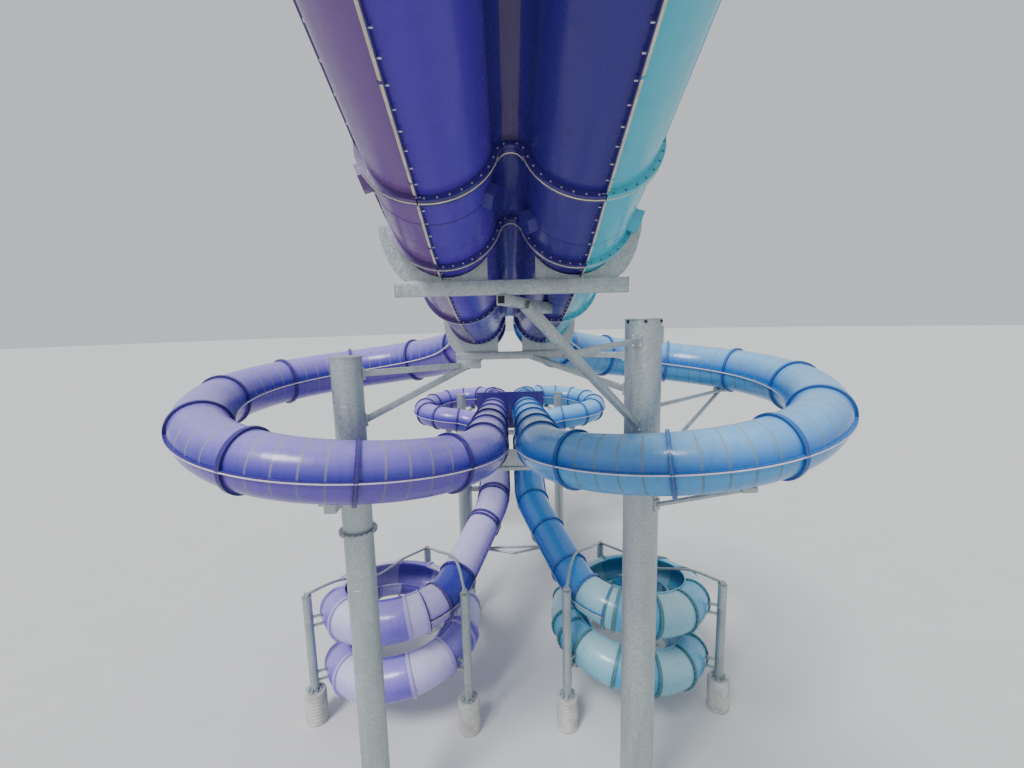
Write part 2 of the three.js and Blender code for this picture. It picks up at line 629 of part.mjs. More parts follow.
// Each small loop turns round a column with two arms.
const loopHub = { x: -TWIN_X - LOOP2_R, y: LOOP2_Y, radius: 305, top: 10400 };
const hubArm = (turn) => {
  const s = S_LOOP2 + arcLength(LOOP2_R, turn);
  const { x, y } = planAt(s);
  const z = bottomAt(s) - 90;
  return fuse([padUnder(s, 1, smallSeat), barBetween([x, y, z], [loopHub.x, loopHub.y, z], ARM, ARM)]);
};
const hubSolid = fuse([column(loopHub), hubArm(75), hubArm(255)]);
placePair("small_loop_column", cut(hubSolid, [smallSeat]), materials.galvanised);

// Helix posts on round concrete pedestals, with brackets to the flume at both turns.
const PEDESTAL_R = 410;
const PEDESTAL_H = 1310;
const POST_R = 165;
const POST_SIDES = 12;
const LUG = 90; // a bracket lug between a post and the flume
const LUG_LIFTS = [-240, 120]; // the pair's heights against the flume's centre
const LUG_CLEAR = 120; // least height of a lug above a pedestal
const LUG_REACH = HELIX_R + OPEN_R - LUG; // from the hub to inside the flume's wall, where it is trimmed
const openSeats = helixParts.map((list) => {
  const outline = openOutline(OPEN_SIDES, SEAT).map((p) => at(-p.x, p.y));
  return sweep(outline, new Stretch(inset(list)));
});
const posts = [
  { name: "outer", angle: 207, top: 5200 },
  { name: "inner", angle: 321, top: 5550 },
  { name: "back", angle: 84, top: 4250 },
];
const RING_R = 3600;
const onRing = (angle, radius, z) =>
  new THREE.Vector3(HELIX_X + radius * Math.cos(rad(angle)), HELIX_Y + radius * Math.sin(rad(angle)), z);
for (const { name, angle, top } of posts) {
  const { x, y } = onRing(angle, RING_R, 0);
  const foot = PEDESTAL_H + GAP;
  const parts = [
    postAt(x, y, foot, POST_R * 1.75, 30, POST_SIDES),
    postAt(x, y, foot + 1, POST_R, top - foot - 1, POST_SIDES),
    postAt(x, y, top - 16, POST_R + 15, 16, POST_SIDES),
  ];
  const first = (360 - angle) % 360;
  for (const turn of [first, first + 360]) {
    if (turn <= ENTRY_TURN + HOOD_TURN || turn > HELIX_TURN - 5) continue;
    const s = S_HELIX + arcLength(HELIX_R, turn - ENTRY_TURN);
    for (const lift of LUG_LIFTS) {
      const z = Math.max(heightAt(s) + lift, PEDESTAL_H + LUG_CLEAR);
      parts.push(barBetween([x, y, z], onRing(angle, LUG_REACH, z).toArray(), LUG, LUG));
    }
  }
  placePair(`helix_${name}_post`, cut(fuse(parts), openSeats), materials.galvanised);
  const pedestal = postAt(x, y, 0, PEDESTAL_R, PEDESTAL_H, COLUMN_SIDES);
  placePair(`helix_${name}_pedestal`, pedestal, materials.concrete);
}

// Two bent pipes over each helix join the tops of its three posts, clamped down by a block on each.
// The first spans from the outer post to the back one, just over the flume.
const TIE_R = 55;
const CLAMP = 190;
const [outerTop, innerTop, backTop] = posts.map(({ top }) => top + GAP + TIE_R);
const outerHead = onRing(posts[0].angle, RING_R, 0);
const backHead = onRing(posts[2].angle, RING_R, 0);
const overHelix = (share, z) => outerHead.clone().lerp(backHead, share).setZ(z);
const tieLines = [
  [
    overHelix(-0.015, outerTop),
    overHelix(0.04, outerTop + 5),
    overHelix(0.16, 5205),
    overHelix(0.27, 5030),
    overHelix(0.5, 4430),
    overHelix(0.64, 4400),
    overHelix(0.76, 4450),
    overHelix(0.93, backTop + 40),
    overHelix(1.01, backTop),
  ],
  [
    onRing(84, RING_R + 60, backTop),
    onRing(82, RING_R - 160, backTop + 80),
    onRing(40, 1650, backTop + 1150),
    onRing(-22, 2500, innerTop + 560),
    onRing(-37, RING_R - 160, innerTop + 90),
    onRing(-40, RING_R + 60, innerTop + 4),
  ],
];
const tieShape = new THREE.Shape(arc(0, TIE_R, 0, 315, 7));
const ties = tieLines.map((line) => {
  const extrudePath = new THREE.CatmullRomCurve3(line);
  return solidOf(new THREE.ExtrudeGeometry(tieShape, { steps: 18, extrudePath }));
});
const clamps = posts.map(({ angle, top }) => {
  const { x, y } = onRing(angle, RING_R, 0);
  return boxAt(x, y, top + GAP, CLAMP, CLAMP, 2 * TIE_R);
});
placePair("helix_tie_pipe", fuse([...ties, ...clamps]), materials.galvanised);

// A low stand under the end of each run-out.
const STAND_S = S_END - 500;
const standAt = planAt(STAND_S);
const standZ = heightAt(STAND_S) - OPEN_R - 90;
const stand = fuse([
  boxAt(standAt.x, standAt.y, standZ - 120, 1300, 120, 121),
  boxAt(standAt.x, standAt.y, standZ, 1100, SADDLE_T, 330),
  ...[-1, 1].flatMap((way) => [
    boxAt(standAt.x + way * 520, standAt.y, 20, 120, 120, standZ - 60),
    boxAt(standAt.x + way * 520, standAt.y, 0, 320, 320, 25),
  ]),
]);
placePair("run_out_stand", cut(stand, openSeats), materials.galvanised);

// A pair of bars joins the two drop tubes from below.
const TIE_S = S_HELIX - 2600;
const tieFoot = planAt(TIE_S);
const tieFootZ = bottomAt(TIE_S) - 60;
const dropTie = fuse([
  ...[1, -1].flatMap((side) => [
    boxAt(side * tieFoot.x, tieFoot.y, tieFootZ - 40, 360, 300, 420),
    barBetween([side * tieFoot.x, tieFoot.y, tieFootZ], [0, tieFoot.y - 500, tieFootZ - 20], 110, 110),
  ]),
  barBetween([tieFoot.x, tieFoot.y, tieFootZ], [-tieFoot.x, tieFoot.y, tieFootZ], 110, 110),
]);
place("drop_tube_tie", cut(dropTie, both(dropSeat)), materials.galvanised);

// A yoke clamps the two wide loops together where they come back side by side.
const YOKE_Y = 13950;
const yokeS = S_RUN2 + YOKE_Y - LOOP1_Y;
const yoke = fuse([
  boxAt(0, YOKE_Y, bottomAt(yokeS) - 160, 2200, 120, 121),
  boxAt(0, YOKE_Y, bottomAt(yokeS) - 40, 2000, SADDLE_T, 560),
]);
place("centre_yoke", cut(yoke, both(longSeat)), materials.galvanised);

// A flat-topped bulkhead round both tubes of the long run.
const BULKHEAD_Y = 23600;
const bulkheadZ = heightAt(S_RUN2 + BULKHEAD_Y - LOOP1_Y);
const bulkhead = boxAt(0, BULKHEAD_Y, bulkheadZ - 950, 3500, 60, 1950);
place("long_run_bulkhead", cut(bulkhead, both(longSeat)), materials.violet);

// The origin is on the ground under the middle of the whole slide.
const whole = new THREE.Box3().setFromObject(slide);
slide.position.y = -(whole.min.y + whole.max.y) / 2;
export default slide;
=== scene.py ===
"""Looks of a twin racing tube slide: glossy gelcoat flumes on galvanised steel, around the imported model.

Metres, +Z up, +Y the way the riders first travel. A flume piece is modelled straight, with x to the riders'
left, y the distance down the flume and z up, and is then bent along the flume's route.
"""

import json
import math
from functools import lru_cache

import bmesh
import bpy
from mathutils import Matrix, Vector


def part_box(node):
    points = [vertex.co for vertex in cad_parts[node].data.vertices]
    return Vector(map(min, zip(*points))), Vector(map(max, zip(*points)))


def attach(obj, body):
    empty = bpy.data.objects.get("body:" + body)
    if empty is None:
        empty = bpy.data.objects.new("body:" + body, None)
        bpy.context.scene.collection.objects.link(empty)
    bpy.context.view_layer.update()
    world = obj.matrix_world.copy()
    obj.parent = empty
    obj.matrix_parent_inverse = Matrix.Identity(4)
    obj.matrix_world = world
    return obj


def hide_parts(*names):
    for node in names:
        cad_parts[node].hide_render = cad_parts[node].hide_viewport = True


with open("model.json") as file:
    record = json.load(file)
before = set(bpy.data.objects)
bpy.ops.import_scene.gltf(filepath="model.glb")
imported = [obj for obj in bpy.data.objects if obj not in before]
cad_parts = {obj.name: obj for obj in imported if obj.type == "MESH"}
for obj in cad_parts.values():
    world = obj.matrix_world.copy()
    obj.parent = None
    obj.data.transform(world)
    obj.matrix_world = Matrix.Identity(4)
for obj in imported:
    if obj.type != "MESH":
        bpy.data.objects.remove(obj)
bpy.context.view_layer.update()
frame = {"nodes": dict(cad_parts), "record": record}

# Route of the left flume, the same as in the part's source
TWIN_X = 0.88
TOP_Y = -3.4
TROUGH_JOINTS = [0.0, 2.6, 5.2, 8.34, 9.66, 12.16, 15.73]
LOOP1_Y = 13.4
LOOP1_R = 3.8
LOOP2_Y = 30.5
LOOP2_R = 2.4
HELIX_X = -4.65
HELIX_Y = 17.6
HELIX_R = 2.4
HELIX_TURN = 540
ENTRY_TURN = 20
DROP_BEND_R = 5.0
HOOD_TURN = 40
RUN_OUT = 2.5
HELIX_FALL = 2.3
Z_JOINTS = (19.85, 19.35, 18.65, 17.31, 16.72, 16.01, 15.45)
Z_FIRST_BEND = 14.25
Z_LOOP1 = (15.2, 13.76, 13.15, 12.21, 11.52)
Z_LOOP2 = (10.0, 9.75, 9.45, 9.15)
Z_DROP_TOP = 8.4
Z_HELIX = 5.1
Z_HELIX_FRONT = 4.6
Z_RUN_OUT = 1.45

# The route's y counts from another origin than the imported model's.
RING_R = 3.6
BACK_ANGLE = 84
back_low, back_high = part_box("left_helix_back_pedestal")
SHIFT_Y = (back_low.y + back_high.y) / 2 - HELIX_Y - RING_R * math.sin(math.radians(BACK_ANGLE))


def arc_length(radius, degrees):
    return radius * math.radians(degrees)


ENTRY_SIN = math.sin(math.radians(ENTRY_TURN))
ENTRY_COS = math.cos(math.radians(ENTRY_TURN))
SLANT_ALL = (-TWIN_X - HELIX_X - HELIX_R * ENTRY_COS) / ENTRY_SIN
BEND_TANGENT = DROP_BEND_R * math.tan(math.radians(ENTRY_TURN / 2))
BEND_Y = HELIX_Y - HELIX_R * ENTRY_SIN + SLANT_ALL * ENTRY_COS
ROUTE = (
    (LOOP1_Y - TOP_Y, 0),
    (LOOP1_R, 360),
    (LOOP2_Y - LOOP1_Y, 0),
    (LOOP2_R, 270),
    (LOOP2_R, -90),
    (LOOP2_Y - 2 * LOOP2_R - BEND_Y - BEND_TANGENT, 0),
    (DROP_BEND_R, -ENTRY_TURN),
    (SLANT_ALL - BEND_TANGENT, 0),
    (HELIX_R, ENTRY_TURN - HELIX_TURN),
    (RUN_OUT, 0),
)
ENDS = [0.0]
for size, turn in ROUTE:
    ENDS.append(ENDS[-1] + (arc_length(size, abs(turn)) if turn else size))
S_LOOP1, S_RUN2, S_LOOP2, S_BEND, S_DROP = ENDS[1:6]
S_HELIX, S_RUN_OUT, S_END = ENDS[8:]
S_SPLIT = TROUGH_JOINTS[-1]
S_LOOP1_HALF = S_LOOP1 + arc_length(LOOP1_R, 180)
S_HOOD = S_HELIX + arc_length(HELIX_R, HOOD_TURN)
HEIGHTS = [
    *zip(TROUGH_JOINTS, Z_JOINTS),
    (S_LOOP1, Z_LOOP1[0]),
    (S_LOOP1 + arc_length(LOOP1_R, 45), Z_FIRST_BEND),
    *((S_LOOP1 + i * arc_length(LOOP1_R, 90), z) for i, z in enumerate(Z_LOOP1) if i),
    *((S_LOOP2 + i * arc_length(LOOP2_R, 90), z) for i, z in enumerate(Z_LOOP2)),
    (S_DROP, Z_DROP_TOP),
    (S_HELIX, Z_HELIX),
    (S_HELIX + arc_length(HELIX_R, 90 - ENTRY_TURN), Z_HELIX_FRONT),
    (S_RUN_OUT, Z_HELIX_FRONT - HELIX_FALL * (HELIX_TURN - 90) / 360),
    (S_END, Z_RUN_OUT),
]


def slope_at(i):
    before = HEIGHTS[max(i - 1, 0)]
    after = HEIGHTS[min(i + 1, len(HEIGHTS) - 1)]
    return (after[1] - before[1]) / (after[0] - before[0])


def height_at(distance):
    """Height of the tube centre at a distance: a smooth curve through the heights."""
    s = min(max(distance, 0.0), S_END)
    i = max(k for k in range(len(HEIGHTS) - 1) if HEIGHTS[k][0] <= s)
    (s0, z0), (s1, z1) = HEIGHTS[i], HEIGHTS[i + 1]
    length = s1 - s0
    t = (s - s0) / length
    rise0, rise1 = slope_at(i) * length, slope_at(i + 1) * length
    ease = t * t * (3 - 2 * t)
    return z0 + (z1 - z0) * ease + rise0 * t * (1 - t) ** 2 - rise1 * t * t * (1 - t)


def plan_at(distance):
    """Place and heading in plan of the left flume's centre at a distance."""
    x, y, heading, left = -TWIN_X, TOP_Y + SHIFT_Y, math.pi / 2, distance
    for i, (size, turn) in enumerate(ROUTE):
        use = left if i == len(ROUTE) - 1 else min(left, ENDS[i + 1] - ENDS[i])
        if turn:
            way = math.copysign(1, turn)
            hub_x = x - way * size * math.sin(heading)
            hub_y = y + way * size * math.cos(heading)
            heading += way * use / size
            x = hub_x + way * size * math.sin(heading)
            y = hub_y - way * size * math.cos(heading)
        else:
            x += use * math.cos(heading)
            y += use * math.sin(heading)
        left -= use
        if left <= 0:
            break
    return x, y, heading


ROUTE_STEP = 0.02


@lru_cache(maxsize=None)
def section_at(step, middle):
    """Centre, left, forward and up at a step, of the left flume or of the plane between the two."""
    distance = step * ROUTE_STEP
    x, y, heading = plan_at(distance)
    before, after = max(distance - 0.001, 0.0), min(distance + 0.001, S_END)
    rise = (height_at(after) - height_at(before)) / (after - before)
    forward = Vector((0 if middle else math.cos(heading), math.sin(heading), rise)).normalized()
    left = Vector((-forward.y, forward.x, 0)).normalized()
    return Vector((0 if middle else x, y, height_at(distance))), left, forward, forward.cross(left)


# Fibreglass sizes
TUBE_R = 0.705
WALL = 0.02
FLANGE = 0.07
OPEN_R = 0.747
JOINT_HALF = 0.046
JOINT_GAP = 0.004
SEAM_T = 0.014
SEAM_GAP = 0.002
UPPER_SEAM_T = 0.02
LOWER_SEAM_T = 0.032
HALF_STEPS = 24
SMOOTH_STEP = 0.21
BOLT_R = 0.0135
WASHER_R = 0.019
SHARP = math.radians(32)
TINY = 1e-6


# Finishes
def new_finish(name, **values):
    """A material with numbers set on the shader's own sockets; its tree and shader come with it."""
    finish = bpy.data.materials.new(name)
    finish.use_nodes = True
    shader = finish.node_tree.nodes["Principled BSDF"]
    for socket, value in values.items():
        shader.inputs[socket.replace("_", " ")].default_value = value
    return finish, finish.node_tree, shader


def add_node(tree, kind, inputs=None, **settings):
    made = tree.nodes.new(kind)
    for key, value in settings.items():
        setattr(made, key, value)
    for socket, value in (inputs or {}).items():
        if isinstance(value, bpy.types.NodeSocket):
            tree.links.new(value, made.inputs[socket])
        else:
            made.inputs[socket].default_value = value
    return made


def place_of(tree, scale=(1, 1, 1)):
    """Object coordinates, stretched by a scale."""
    coordinates = add_node(tree, "ShaderNodeTexCoord").outputs["Object"]
    mapping = add_node(tree, "ShaderNodeMapping", {"Vector": coordinates, "Scale": scale})
    return mapping.outputs["Vector"]


def noise_of(tree, scale, detail=3.0, stretch=(1, 1, 1)):
    texture = add_node(
        tree,
        "ShaderNodeTexNoise",
        {"Vector": place_of(tree, stretch), "Scale": scale, "Detail": detail, "Roughness": 0.6},
    )
    return texture.outputs["Fac"]


def ranged(tree, value, low, high, to_low=0.0, to_high=1.0):
    made = add_node(
        tree,
        "ShaderNodeMapRange",
        {"Value": value, "From Min": low, "From Max": high, "To Min": to_low, "To Max": to_high},
    )
    return made.outputs["Result"]


def blended(tree, amount, first, second):
    made = add_node(tree, "ShaderNodeMix", data_type="RGBA")
    for socket, value in ((made.inputs[0], amount), (made.inputs[6], first), (made.inputs[7], second)):
        if isinstance(value, bpy.types.NodeSocket):
            tree.links.new(value, socket)
        elif isinstance(value, float):
            socket.default_value = value
        else:
            socket.default_value = (*value, 1)
    return made.outputs[2]


def product(tree, first, second):
    made = add_node(tree, "ShaderNodeMath", operation="MULTIPLY")
    tree.links.new(first, made.inputs[0])
    if isinstance(second, bpy.types.NodeSocket):
        tree.links.new(second, made.inputs[1])
    else:
        made.inputs[1].default_value = second
    return made.outputs[0]


def bumped(tree, shader, height, strength, distance):
    bump = add_node(
        tree, "ShaderNodeBump", {"Height": height, "Strength": strength, "Distance": distance}
    )
    tree.links.new(bump.outputs["Normal"], shader.inputs["Normal"])


def gelcoat(name, base, sunlit, grime=0.2, gloss=0.35):
    """Glossy gelcoat, painted lighter on faces that look up as painted sunlight and sky reflection, and
    deep on the sides as painted shade, with soft rain streaks and a wavy laminate.
    """
    finish, tree, shader = new_finish(
        name, Coat_Weight=gloss, Coat_Roughness=0.14, Specular_IOR_Level=gloss
    )
    blotches = ranged(tree, noise_of(tree, 0.5, 4.0), 0.3, 0.7, 0.78, 1.0)
    normal = add_node(tree, "ShaderNodeNewGeometry").outputs["Normal"]
    upward = add_node(tree, "ShaderNodeSeparateXYZ", {"Vector": normal}).outputs["Z"]
    # painted light: faces that look up blend from the shaded colour to the sunlit one
    sunlit_share = product(tree, ranged(tree, upward, 0.12, 0.86), blotches)
    colour = blended(tree, sunlit_share, base, sunlit)
    streaks = ranged(tree, noise_of(tree, 5.0, 5.0, (1, 1, 0.12)), 0.52, 0.78, 0.0, grime)
    dark = tuple(0.45 * c for c in base)
    tree.links.new(blended(tree, streaks, colour, dark), shader.inputs["Base Color"])
    cloudy = noise_of(tree, 9.0, 6.0)
    tree.links.new(ranged(tree, cloudy, 0.3, 0.75, 0.2, 0.4), shader.inputs["Roughness"])
    bumped(tree, shader, noise_of(tree, 2.2, 5.0), 0.25, 0.02)
    return finish


def galvanised(name, base, spangle=34.0):
    """Hot-dip zinc: a faint spangle of crystals, duller with drips."""
    finish, tree, shader = new_finish(name, Metallic=0.6, Specular_IOR_Level=0.5)
    crystals = add_node(
        tree, "ShaderNodeTexVoronoi", {"Vector": place_of(tree), "Scale": spangle}, feature="F1"
    )
    tone = add_node(tree, "ShaderNodeSeparateColor", {"Color": crystals.outputs["Color"]}).outputs["Red"]
    light = tuple(min(1.0, 1.16 * c) for c in base)
    dark = tuple(0.8 * c for c in base)
    flecks = blended(tree, tone, dark, light)
    drips = ranged(tree, noise_of(tree, 3.0, 5.0, (1, 1, 0.15)), 0.45, 0.75, 0.0, 0.55)
    dull = tuple(0.62 * c for c in base)
    tree.links.new(blended(tree, drips, flecks, dull), shader.inputs["Base Color"])
    tree.links.new(ranged(tree, tone, 0.0, 1.0, 0.34, 0.56), shader.inputs["Roughness"])
    bumped(tree, shader, noise_of(tree, 18.0, 3.0), 0.12, 0.004)
    return finish


def dull_finish(name, base, dark, scale, rough=0.8, depth=0.004):
    """Bare laminate, sealant or concrete: matt, with mottling and pores."""
    finish, tree, shader = new_finish(name)
    mottle = ranged(tree, noise_of(tree, scale, 6.0), 0.35, 0.7)
    tree.links.new(blended(tree, mottle, base, dark), shader.inputs["Base Color"])
    tree.links.new(
        ranged(tree, noise_of(tree, scale * 3), 0.3, 0.7, rough - 0.12, rough + 0.1),
        shader.inputs["Roughness"],
    )
    bumped(tree, shader, noise_of(tree, scale * 8, 4.0), 0.5, depth)
    return finish


# Each gelcoat gets a shaded colour and a painted sunlit colour for faces that look up
VIOLET = gelcoat("violet_gelcoat", (0.035, 0.024, 0.36), (0.36, 0.29, 0.8))
# a lighter copy for the lower shells: painted reflection of the floor below
LOWER_VIOLET = gelcoat("lower_violet_gelcoat", (0.12, 0.07, 0.42), (0.3, 0.22, 0.65))
TROUGH_VIOLET = gelcoat("trough_violet_gelcoat", (0.07, 0.03, 0.36), (0.24, 0.17, 0.6), gloss=0.2)
# a darker copy of the trough's violet: painted shade on the middle panel's right lane and web
DEEP_VIOLET = gelcoat("deep_violet_gelcoat", (0.03, 0.018, 0.2), (0.14, 0.11, 0.42), gloss=0.25)
WEB_MAUVE = gelcoat("web_mauve_gelcoat", (0.085, 0.06, 0.16), (0.2, 0.16, 0.35), gloss=0.15)
FLANGE_VIOLET = gelcoat("flange_violet_gelcoat", (0.03, 0.016, 0.16), (0.08, 0.055, 0.34))
FLANGE_MAUVE = gelcoat("flange_mauve_gelcoat", (0.075, 0.035, 0.17), (0.12, 0.08, 0.24))
MAUVE = gelcoat("mauve_gelcoat", (0.15, 0.07, 0.25), (0.3, 0.22, 0.45), gloss=0.25)
LAVENDER = gelcoat("lavender_gelcoat", (0.34, 0.27, 0.68), (0.62, 0.56, 0.88))
SKY_BLUE = gelcoat("sky_blue_gelcoat", (0.012, 0.15, 0.52), (0.24, 0.55, 0.88))
# a lighter copy for the lower shells: painted reflection of the floor below
LOWER_BLUE = gelcoat("lower_blue_gelcoat", (0.06, 0.3, 0.62), (0.2, 0.5, 0.8))
DEEP_BLUE = gelcoat("deep_blue_gelcoat", (0.012, 0.1, 0.46), (0.07, 0.34, 0.78))
FLANGE_BLUE = gelcoat("flange_blue_gelcoat", (0.012, 0.08, 0.3), (0.05, 0.22, 0.55))
AQUA = gelcoat("aqua_gelcoat", (0.2, 0.5, 0.62), (0.5, 0.78, 0.86))
TEAL = gelcoat("teal_gelcoat", (0.03, 0.16, 0.2), (0.1, 0.3, 0.36))
TURQUOISE = gelcoat("turquoise_gelcoat", (0.05, 0.42, 0.54), (0.18, 0.6, 0.7), gloss=0.3)
MID_VIOLET = gelcoat("mid_violet_gelcoat", (0.15, 0.1, 0.55), (0.36, 0.3, 0.78))
PALE_LAVENDER = gelcoat("pale_lavender_gelcoat", (0.46, 0.4, 0.78), (0.74, 0.7, 0.93))
BLUE_VIOLET = gelcoat("blue_violet_gelcoat", (0.03, 0.028, 0.34), (0.05, 0.055, 0.42))
MID_BLUE = gelcoat("mid_blue_gelcoat", (0.05, 0.32, 0.56), (0.2, 0.56, 0.78))
# near black: painted shade where holes and open ends are
HOLE_SHADE = dull_finish("painted_hole_shade", (0.012, 0.012, 0.016), (0.03, 0.03, 0.035), 20.0)
OLIVE_VIOLET = gelcoat("olive_stripe_violet_side", (0.15, 0.15, 0.26), (0.4, 0.38, 0.42))
OLIVE_BLUE = gelcoat("olive_stripe_blue_side", (0.1, 0.2, 0.26), (0.32, 0.42, 0.46))
PALE_SEAM = dull_finish("pale_lilac_seam", (0.78, 0.72, 0.86), (0.6, 0.55, 0.7), 6.0)
SEALANT = dull_finish("cream_sealant", (0.78, 0.72, 0.52), (0.5, 0.46, 0.32), 6.0)
ZINC = galvanised("zinc_bolts", (0.72, 0.73, 0.74), 300.0)
STEEL = galvanised("galvanised_steel", (0.43, 0.485, 0.49))
CONCRETE = dull_finish("pale_concrete", (0.62, 0.61, 0.58), (0.42, 0.41, 0.39), 3.0, 0.85)


# Shapes of the flume, in its straight space
def recalculated(part):
    bmesh.ops.recalc_face_normals(part, faces=part.faces)
    return part


def draw_band(inner, outer, start, stop, steps, y):
    """A flat ring sector in the plane across the flume, from one angle to another in degrees."""
    part = bmesh.new()
    turn = math.radians(start)
    verts = [part.verts.new((r * math.cos(turn), y, r * math.sin(turn))) for r in (inner, outer)]
    edge = part.edges.new(verts)
    bmesh.ops.spin(
        part,
        geom=[*verts, edge],
        cent=(0, y, 0),
        axis=(0, -1, 0),
        angle=math.radians(stop - start),
        steps=steps,
    )
    return part


def draw_bar(x0, x1, z0, z1, y):
    part = bmesh.new()
    corners = [(x0, y, z0), (x1, y, z0), (x1, y, z1), (x0, y, z1)]
    part.faces.new([part.verts.new(c) for c in corners])
    return part


def draw_disc(part, matrix, radius, depth, sides):
    bmesh.ops.create_cone(
        part, cap_ends=True, segments=sides, radius1=radius, radius2=radius, depth=depth, matrix=matrix
    )
    return part


def push_down(part, stations):
    """Pushes what is drawn at the first station through all the others."""
    region = part.faces[:]
    for before, after in zip(stations, stations[1:]):
        made = bmesh.ops.extrude_face_region(part, geom=region)["geom"]
        verts = [v for v in made if isinstance(v, bmesh.types.BMVert)]
        bmesh.ops.translate(part, vec=(0, after - before, 0), verts=verts)
        region = [f for f in made if isinstance(f, bmesh.types.BMFace)]
    return recalculated(part)


def stations_between(start, stop, marks=(), step=SMOOTH_STEP):
    stops = sorted({start, stop, *(m for m in marks if start < m < stop)})
    stations = [start]
    for a, b in zip(stops, stops[1:]):
        count = max(1, math.ceil((b - a) / step))
        stations += [a + (b - a) * i / count for i in range(1, count + 1)]
    return stations


class Build:
    """The parts of one piece, gathered with a finish number on every face."""

    def __init__(self):
        self.bm = bmesh.new()

    def add(self, part, number):
        """number is a finish number, or a function of a face's middle that gives one."""
        for face in part.faces:
            face.material_index = number(face.calc_center_median()) if callable(number) else number
        mesh = bpy.data.meshes.new("part")
        part.to_mesh(mesh)
        part.free()
        self.bm.from_mesh(mesh)
        bpy.data.meshes.remove(mesh)

    def cone(self, number, matrix, radius, depth, sides):
        self.add(draw_disc(bmesh.new(), matrix, radius, depth, sides), number)

    def bolts(self, number, spots, size=1.0):
        """Washers with hexagon heads; each spot is a place and the axis that the bolt stands out along."""
        part = bmesh.new()
        for place, axis in spots:
            turn = Vector(axis).to_track_quat("Z", "Y").to_matrix().to_4x4()
            for radius, depth, sides in ((WASHER_R, 0.004, 10), (BOLT_R, 0.014, 6)):
                lift = Matrix.Translation((0, 0, size * depth / 2))
                matrix = Matrix.Translation(place) @ turn @ lift
                draw_disc(part, matrix, size * radius, size * depth, sides)
        self.add(part, number)

    def slide(self, x):
        bmesh.ops.translate(self.bm, vec=(x, 0, 0), verts=self.bm.verts)

    def double_across(self, renumber):
        """Adds the mirror image across x, with other finish numbers."""
        everything = self.bm.verts[:] + self.bm.edges[:] + self.bm.faces[:]
        made = bmesh.ops.duplicate(self.bm, geom=everything)["geom"]
        verts = [v for v in made if isinstance(v, bmesh.types.BMVert)]
        faces = [f for f in made if isinstance(f, bmesh.types.BMFace)]
        bmesh.ops.scale(self.bm, vec=(-1, 1, 1), verts=verts)
        bmesh.ops.reverse_faces(self.bm, faces=faces)
        for face in faces:
            face.material_index = renumber.get(face.material_index, face.material_index)

    def plate(self, number, low, high, bevel=0.004):
        """A plate or block between two corners, with eased edges."""
        part = bmesh.new()
        bmesh.ops.create_cube(part, size=1.0)
        size = [b - a for a, b in zip(low, high)]
        bmesh.ops.scale(part, vec=size, verts=part.verts)
        bmesh.ops.translate(part, vec=[(a + b) / 2 for a, b in zip(low, high)], verts=part.verts)
        bmesh.ops.bevel(
            part, geom=part.edges[:], offset=bevel, affect="EDGES", segments=2, profile=0.5, material=-1
        )
        self.add(part, number)

    def pipe(self, number, start, end, radius, sides=24):
        start, end = Vector(start), Vector(end)
        along = end - start
        turn = along.to_track_quat("Z", "Y").to_matrix().to_4x4()
        self.cone(number, Matrix.Translation((start + end) / 2) @ turn, radius, along.length, sides)

    def bar(self, number, start, end, width, depth):
        """A square bar from one place to another, with eased edges."""
        start, end = Vector(start), Vector(end)
        along = (end - start).normalized()
        across = Vector((-along.y, along.x, 0)).normalized()
        turn = Matrix((across, along.cross(across), along)).transposed().to_4x4()
        part = bmesh.new()
        bmesh.ops.create_cube(part, size=1.0)
        bmesh.ops.scale(part, vec=(width, depth, (end - start).length), verts=part.verts)
        bmesh.ops.bevel(
            part, geom=part.edges[:], offset=0.008, affect="EDGES", segments=2, profile=0.5, material=-1
        )
        bmesh.ops.transform(part, matrix=Matrix.Translation((start + end) / 2) @ turn, verts=part.verts)
        self.add(part, number)

    def cutout(self, number, outline, thickness, matrix):
        """A flat plate from its outline as x and z, centred on y = 0 and then put in its place."""
        part = bmesh.new()
        face = part.faces.new([part.verts.new((x, -thickness / 2, z)) for x, z in outline])
        made = bmesh.ops.extrude_face_region(part, geom=[face])["geom"]
        verts = [v for v in made if isinstance(v, bmesh.types.BMVert)]
        bmesh.ops.translate(part, vec=(0, thickness, 0), verts=verts)
        bmesh.ops.transform(part, matrix=matrix, verts=part.verts)
        self.add(recalculated(part), number)

    def turned(self, number, profile, x, y, steps=48):
        """A shape turned round an upright axis, from its outline as radius and height."""
        part = bmesh.new()
        verts = [part.verts.new((x + radius, y, z)) for radius, z in profile]
        edges = [part.edges.new(pair) for pair in zip(verts, verts[1:])]
        bmesh.ops.spin(
            part,
            geom=[*verts, *edges],
            cent=(x, y, 0),
            axis=(0, 0, 1),
            angle=math.tau,
            steps=steps,
            use_merge=True,
        )
        bmesh.ops.remove_doubles(part, verts=part.verts, dist=1e-5)
        self.add(recalculated(part), number)

    def mirror(self):
        bmesh.ops.scale(self.bm, vec=(-1, 1, 1), verts=self.bm.verts)
        bmesh.ops.reverse_faces(self.bm, faces=self.bm.faces)

    def flip_down(self):
        """Turns an upper half shell into the lower one."""
        bmesh.ops.scale(self.bm, vec=(1, 1, -1), verts=self.bm.verts)
        bmesh.ops.reverse_faces(self.bm, faces=self.bm.faces)

    def bend(self, side):
        """Bends the straight piece along the route; side is 1 for the left flume, -1 right, 0 middle."""
        for vert in self.bm.verts:
            step = round(vert.co.y / ROUTE_STEP)
            centre, left, forward, up = section_at(step, side == 0)
            beyond = vert.co.y - step * ROUTE_STEP
            vert.co = centre + left * vert.co.x + forward * beyond + up * vert.co.z
            if side < 0:
                vert.co.x = -vert.co.x
        if side >= 0:
            bmesh.ops.reverse_faces(self.bm, faces=self.bm.faces)

